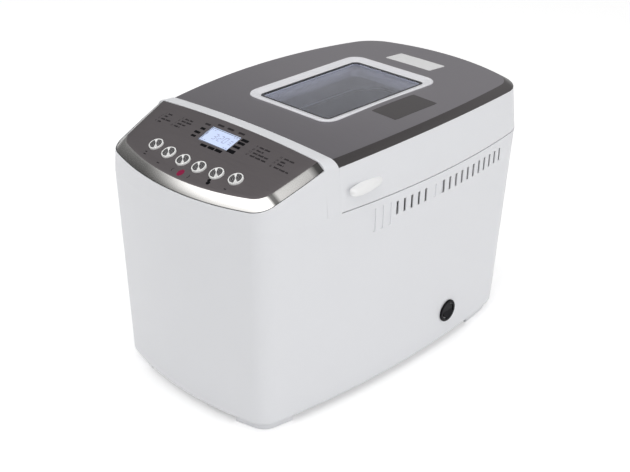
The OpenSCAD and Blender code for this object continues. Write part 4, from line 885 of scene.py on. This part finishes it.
# bars round the display and under the buttons, as (x0, x1, y0, y1)
BLOCKS = [
    (-31.6, -25.7, 2.9, 5.5), (-33.8, -26.4, -3.0, -0.3), (-32.8, -26.8, -8.1, -5.6), (-13.2, -5.2, -14.2, -11.3),
    (-3.4, 4.5, -13.9, -10.9), (5.9, 14.2, -13.7, -10.5), (18.7, 27.2, 7.4, 10.5), (18.2, 26.8, 3.1, 6.1),
    (17.9, 26.3, -2.4, 0.5), (16.8, 26.2, -9.3, -5.2),
]
FAINT_BLOCKS = [(-32.2, -25.2, 9.6, 11.8), (-19.0, -11.0, 13.6, 15.8), (-6.0, 2.2, 13.6, 15.9),
                (8.6, 16.4, 13.7, 15.9)]
BUTTON_DASHES = [(-33.2, -29.8, -49.4, -48.4), (52.6, 55.6, -45.6, -44.4), (-56.2, -53.0, -46.2, -45.0),
                 (-57.0, -54.4, -43.2, -42.0)]


def build_prints():
    lines = []
    for k, (x, y, length) in enumerate(PROGRAM_LINES):
        lines += small_number(str(k + 1), x, y)
        start, count = x + 2.4, 0
        while start < x + length - 0.7:
            tall = STROKE_HEIGHTS[(count + k) % len(STROKE_HEIGHTS)]
            lines.append(bar(start, start + 0.86, y - 0.75, y + tall, 0.2))
            count += 1
            start += 1.1 + (1.0 if count % 6 == 5 else 0.0)
    panel_marks("program_list", lines, SOFT_INK)
    panel_marks("label_blocks", [bar(*b, 0.5) for b in BLOCKS], INK)
    panel_marks("faint_label_blocks", [bar(*b, 0.4) for b in FAINT_BLOCKS], SOFT_INK)
    panel_marks("stop_mark", [oval(0, -48.9, 3.3, 4.1, 20)], RED_INK)
    marks = []
    for s in (-1, 1):
        out = [(s * (9.5 + 2.2 * math.cos(t)), -49.0 + 2.6 * math.sin(t)) for t in np.linspace(-1.1, 1.1, 9)]
        back = [(s * (9.5 + 1.5 * math.cos(t)), -49.0 + 1.9 * math.sin(t)) for t in np.linspace(1.1, -1.1, 9)]
        marks.append(out + back)
    panel_marks("small_button_marks", marks + [bar(*b, 0.4) for b in BUTTON_DASHES], SOFT_INK)
    panel_marks("black_button_mark", [oval(32.3, -43.6, 1.7, 1.7, 16), oval(34.0, -46.6, 2.1, 2.1, 16)], INK)


build_prints()

# ---------- lid ----------

def lid_ring(half, height, setback):
    """Ring of the lid: from its right front corner round the rear to the left, and back along its front edge."""
    front = SEAM_Y + SEAM_GAP + setback
    h = stations(half, [("seam", front, 0), ("y", SIDE_END, SIDE_N), ("end", None, REAR_N)])
    return seamed(np.vstack([h, h[::-1][1:] * [-1, 1, 1]]), front, height)


def lid_level(k, z, setback=0.0):
    """Level ring, set in by k from the parting line's outline."""
    return lid_ring(at_height(MID + MID_IN * k, z), lambda x, y: np.full(len(x), z), setback)


def lid_crown(k, drop, setback=0.0):
    """Ring that follows the lid's crown, set in by k and dropped below it."""
    return lid_ring(top_half(lid_z, k, drop), lambda x, y: lid_z(x, y) - drop, setback)


def build_lid():
    shape = Shape()
    z0 = PARTING + LID_GAP
    rings = [lid_level(WALL, z0, WALL), lid_level(0.7, z0), lid_level(0.2, z0 + 0.2), lid_level(0.08, z0 + 0.8)]
    low, top = rings[-1], lid_crown(0, LID_BEVEL_H + 0.05)
    rings += [low * (1 - t) + top * t for t in (0.33, 0.66, 1.0)]
    shape.loft(rings + [lid_crown(WALL, LID_BEVEL_H + 1, WALL), rings[0]])
    shape.piece("lid_wall", [WHITE], "lid", "white_plastic", replaces=("lid_shell",), sharp=50)


def build_lid_plate():
    """Crowned cover with a bevelled edge and a hole for the window."""
    shape = Shape()
    profile = [(0.12, LID_BEVEL_H + 1.0), (0.0, LID_BEVEL_H), (0.12, LID_BEVEL_H - 0.2), (LID_BEVEL - 1.1, 0.66),
               (LID_BEVEL - 0.5, 0.24), (LID_BEVEL + 0.2, 0.03), (LID_BEVEL + 1.0, 0.0)]
    rings = [lid_crown(k, drop) for k, drop in profile]
    outer = rings[-1]
    angles = np.arctan2(outer[:, 1] - WINDOW_Y, outer[:, 0])
    inset = 3.2
    hole = rect_at_angles(angles, WINDOW_X - inset, WINDOW_L - inset, WINDOW_R - inset, WINDOW_Y)
    for t in (0.12, 0.3, 0.5, 0.7, 0.87, 1.0):
        p = outer[:, :2] * (1 - t) + hole * t
        rings.append(np.column_stack([p, lid_z(p[:, 0], p[:, 1])]))
    rings.append(rings[-1] - [0, 0, PLATE_T])
    shape.loft(rings, [1] * 5 + [0] * 8)
    shape.piece("lid_cover_plate", [LID_METAL_PAINTED_REFLECTION, BEVEL_METAL_PAINTED_REFLECTION], "lid", "brushed_cover", replaces=("lid_plate",),
                sharp=50)


build_lid()
build_lid_plate()


def window_ring(inset, rise):
    """Ring of the window, set in from its outer edge and raised from the lid's crown."""
    corner = max(WINDOW_R - min(inset, 8), 2.0)
    p = rounded_rect(WINDOW_X - inset, WINDOW_L - inset, corner, WINDOW_Y, 12)
    return np.column_stack([p, lid_z(p[:, 0], p[:, 1]) + rise])


# sections through the window's edge, as (inset, rise)
SURROUND_SECTION = [
    (3.2, -0.6), (3.2, 0.04), (0.1, 0.04), (0.0, 0.2), (0.1, 0.8), (0.5, 1.25), (1.1, 1.5), (1.9, 1.55), (2.6, 1.5),
    (3.4, 1.25), (4.2, 0.9), (9.0, -1.0), (9.5, -1.3), (9.7, -1.8), (9.75, -2.5), (10.8, -2.5), (10.9, -7.2),
    (8.0, -7.5), (3.3, -7.4), (3.2, -0.6),
]
SEAL_SECTION = [
    (9.72, -2.45), (9.72, -1.6), (9.95, -1.35), (11.5, -1.35), (11.75, -1.6), (11.8, -2.2), (10.95, -2.2),
    (10.85, -2.45), (9.72, -2.45),
]


def build_window():
    surround, glass, seal = Shape(), Shape(), Shape()
    surround.loft([window_ring(k, u) for k, u in SURROUND_SECTION])
    surround.piece("window_surround", [FRAME_WHITE], "lid", "white_plastic", replaces=("window_frame",), sharp=50)
    rim = window_ring(PANE_INSET, 0)
    under = [drawn_in(rim, t, lid_z, -PANE_FOOT, WINDOW_Y) for t in (0.02, 0.3, 0.6, 0.85)]
    over = [drawn_in(rim, t, lid_z, -PANE_TOP, WINDOW_Y) for t in (0.85, 0.6, 0.3, 0.02)]
    glass.capped(under + [window_ring(PANE_INSET, PANE_FOOT), window_ring(PANE_INSET, PANE_TOP)] + over)
    glass.piece("window_pane", [GLASS], "lid", "glass", replaces=("window_glass",), sharp=50)
    seal.loft([window_ring(k, u) for k, u in SEAL_SECTION])
    seal.piece("window_seal", [GASKET], "lid", "gasket_rubber", replaces=("window_gasket",), sharp=60)


build_window()


def lid_patch(name, x0, x1, y0, y1, mat):
    """Thin film laid on the lid's cover, as a fine grid that follows the lid."""
    thick, n = 0.1, 14
    shape = Shape()
    rows = []
    for i in range(n + 1):
        y = y0 + (y1 - y0) * i / n
        ease = 0.8 * (1 - min(1, min(i, n - i) * (y1 - y0) / n / 1.2))
        rows.append([(x, y, float(lid_z(x, y)) + thick) for x in np.linspace(x0 + ease, x1 - ease, n + 1)])
    ids = [shape.ring(r) for r in rows]
    shape.bands(ids, closed=False)
    rim = ids[0] + [r[-1] for r in ids[1:-1]] + ids[-1][::-1] + [r[0] for r in ids[-2:0:-1]]
    shape.band(rim, shape.ring([(shape.v[k][0], shape.v[k][1], shape.v[k][2] - thick - 0.1) for k in rim]))
    shape.piece(name, [mat], "lid", "brushed_cover", sharp=30)


lid_patch("pale_blank_sticker", -31.6, 27.0, 119.0, 143.0, STICKER)
lid_patch("dark_blank_label", 61.8, 91.6, -1.5, 55.5, DARK_LABEL)

# ---------- feet and lid grips ----------

def build_feet():
    """Corner feet that follow the low outline, with eased lower edges."""
    shape = Shape()
    section = [(5.4, FOOT + 0.3), (5.4, 1.1), (5.7, 0.4), (6.3, 0.0), (15.3, 0.0), (16.0, 0.6), (16.1, FOOT + 0.3)]
    front = [i for i, p in enumerate(LOW) if p[0] >= 62.0 and p[1] <= -139.0]
    rear = [i for i, p in enumerate(LOW) if p[0] >= 54.0 and p[1] >= 103.0]
    for span in (front, rear):
        for side in (1, -1):
            rings = []
            for i in span:
                points = [(LOW[i] + LOW_IN[i] * k, z) for k, z in section]
                rings.append([(p[0] * side, p[1], z) for p, z in points])
            shape.capped(rings)
    shape.piece("corner_feet", [WHITE], "housing", "white_plastic", replaces=("feet",), sharp=45)


GRIP_Y, GRIP_Z, GRIP_L, GRIP_H = -67.6, PARTING + 18.0, 42.5, 3.6
# along the grip: (place from its front end, reach from the wall, share of its full height)
GRIP_RUN = [
    (0.0, 0.8, 0.5), (0.015, 3.0, 0.66), (0.045, 4.8, 0.8), (0.13, 5.8, 0.88), (0.24, 6.6, 0.97), (0.4, 6.8, 1.0),
    (0.6, 6.3, 1.0), (0.78, 5.2, 0.98), (0.9, 4.0, 0.92), (0.96, 2.7, 0.84), (0.99, 1.4, 0.76), (1.0, 0.4, 0.68),
]
# across it: (share of its reach, share of its height), from above the lip to below it
GRIP_SECTION = [
    (-0.12, 1.25), (0.0, 1.25), (0.3, 1.2), (0.6, 1.02), (0.84, 0.68), (0.96, 0.25), (1.0, -0.2), (0.98, -0.62),
    (0.9, -0.9), (0.78, -1.0), (0.4, -0.72), (0.0, -0.5), (-0.12, -0.5),
]


def build_grips():
    """Rounded lip on each side of the lid, fullest near its front end and undercut below."""
    shape = Shape()
    yaw = math.atan(2 * MID_BOW * GRIP_Y / HALF_L ** 2)
    for side in (1, -1):
        rings = []
        for t, reach, tall in GRIP_RUN:
            along = (t - 0.5) * GRIP_L
            ring = []
            for a, b in GRIP_SECTION:
                out, z = a * reach - DRAFT * b * GRIP_H * tall, b * GRIP_H * tall
                x = side_x(GRIP_Y, GRIP_Z) + out * math.cos(yaw) + along * math.sin(yaw)
                y = GRIP_Y - out * math.sin(yaw) + along * math.cos(yaw)
                ring.append((side * (x - 0.15), y, GRIP_Z + z))
            rings.append(ring)
        shape.capped(rings)
    shape.piece("lid_side_grips", [GRIP_WHITE], "lid", "white_plastic", replaces=("lid_grips",), sharp=60)


build_feet()
build_grips()

# ---------- finishes of the carried-over nodes ----------

FINISH = {
    GREY: ("base_plate", "board_posts"),
    STEEL: ("base_screws", "board_screws", "pan_seat", "pan_clips", "element_supports", "motor_bracket"),
    SHAFT_STEEL: ("temperature_sensor", "bearings", "pan_bushings", "drive_shaft_front", "drive_shaft_rear",
                  "pan_shaft_front", "pan_shaft_rear", "motor_shaft", "hinge_pins"),
    BOARD: ("control_board", "power_board"),
    PAN_COAT: ("bread_pan", "paddle_front", "paddle_rear"),
    PULLEY: ("pulley_front", "pulley_rear", "motor_pulley"),
    BLACK: ("switch_bezel", "switch_rocker"),
    CHAMBER_STEEL: ("chamber",), ELEMENT: ("heating_element",), WIRE: ("pan_handle",), BELT: ("belt",),
    MOTOR: ("motor",), LINER_WHITE_PAINTED_SHADE: ("lid_liner",), DISPLAY: ("lcd_module",),
}
finish_of = {node: material for material, nodes in FINISH.items() for node in nodes}
for name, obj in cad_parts.items():
    obj.data.materials.clear()
    obj.data.materials.append(finish_of.get(name, WHITE))

# ---------- studio ----------

def build_floor():
    m, g, shader = start_material("studio_floor")
    texture = g.add("Group", {"Grain size": 40, "Tone depth": 0.004}, node_tree=MOULDED_GRAIN)
    g.fill(shader, {"Base Color": g.toned((0.93, 0.93, 0.93), texture["Tone"]), "Roughness": 0.9,
                    "Specular IOR Level": 0.0})
    ray = g.add("LightPath", {})
    seen = g.math("MAXIMUM", ray["Is Camera Ray"], g.math("MAXIMUM", ray["Is Glossy Ray"], ray["Is Transmission Ray"]))
    glow = g.add("Emission", {"Strength": g.math("MULTIPLY", seen, 0.3)})
    total = g.add("AddShader", {0: shader.outputs[0], 1: glow[0]})
    g.feed(total[0], g.nodes["Material Output"].inputs["Surface"])
    shape = Shape()
    shape.cap(shape.ring([(-FLOOR_REACH, -FLOOR_REACH, 0), (FLOOR_REACH, -FLOOR_REACH, 0),
                          (FLOOR_REACH, FLOOR_REACH, 0), (-FLOOR_REACH, FLOOR_REACH, 0)]))
    shape.piece("studio_floor", [m], smooth=False)


def build_world():
    """White to the camera; soft panels overhead and a dim room for reflections; an even level for all else."""
    world = bpy.data.worlds.new("studio")
    world.use_nodes = True
    bpy.context.scene.world = world
    g = Graph(world.node_tree)
    back = g.nodes["Background"]
    back.inputs["Color"].default_value = (1, 1, 1, 1)
    axes = g.axes("Generated")
    # the panels have a dark gap between them, and fade to the left and towards the horizon
    lit = g.ramp(axes["Y"], [(-1, 0.3), (-0.7, 0.7), (-0.5, 1.0), (-0.2, 1.0), (-0.03, 0.6), (0.03, 0.5),
                             (0.09, 0.1), (0.2, 0.1), (0.4, 0.2), (0.6, 0.1), (1, 0.1)])
    across = g.ramp(axes["X"], [(-1, 0.1), (-0.88, 0.06), (-0.79, 0.2), (-0.69, 0.7), (-0.58, 1.0), (1, 1.0)])
    lit = g.math("MULTIPLY", lit, across)
    lit = g.math("MULTIPLY", lit, g.ramp(axes["Z"], [(-1, 0), (0.3, 0.0), (0.5, 0.75), (0.62, 1.0), (1, 1.0)]))
    room = g.ramp(axes["Z"], [(-1, 0.55), (-0.05, 0.5), (0.1, 0.3), (0.35, 0.46), (0.5, 0.45), (0.7, 0.1), (1, 0.05)])
    room = g.math("MULTIPLY", room, g.ramp(axes["Y"], [(-1, 0.5), (-0.35, 0.55), (0.1, 0.98), (0.5, 1.0), (1, 1.0)]))
    mirrored_room = g.math("ADD", g.math("MULTIPLY", lit, PANEL_STRENGTH), room)
    ray = g.add("LightPath", {})
    glossy = ray["Is Glossy Ray"]
    seen = g.math("MAXIMUM", ray["Is Camera Ray"], ray["Is Transmission Ray"])
    even = g.math("MULTIPLY", g.math("SUBTRACT", 1.0, g.math("MAXIMUM", seen, glossy)), EVEN_LEVEL)
    total = g.math("ADD", g.math("ADD", seen, even), g.math("MULTIPLY", glossy, mirrored_room))
    g.feed(total, back.inputs["Strength"])


build_floor()
build_world()


def soft_light(name, place, target, size, power):
    data = bpy.data.lights.new(name, "AREA")
    data.size = size
    data.energy = power
    lamp = bpy.data.objects.new(name, data)
    lamp.location = place
    lamp.rotation_euler = (Vector(target) - Vector(place)).to_track_quat("-Z", "Y").to_euler()
    bpy.context.scene.collection.objects.link(lamp)
    lamp.visible_glossy = False


soft_light("key_softbox", (0.9, -1.3, 1.9), (0, 0, 0.15), 1.2, 10)
soft_light("side_softbox", (1.9, 0.3, 0.8), (0, 0, 0.12), 1.0, 6)
soft_light("left_softbox", (-1.5, -0.9, 1.2), (0, 0, 0.12), 1.0, 4)
soft_light("top_softbox", (0.1, 0.2, 2.3), (0, 0, 0.2), 1.4, 8)

bpy.context.scene.view_settings.view_transform = "Standard"
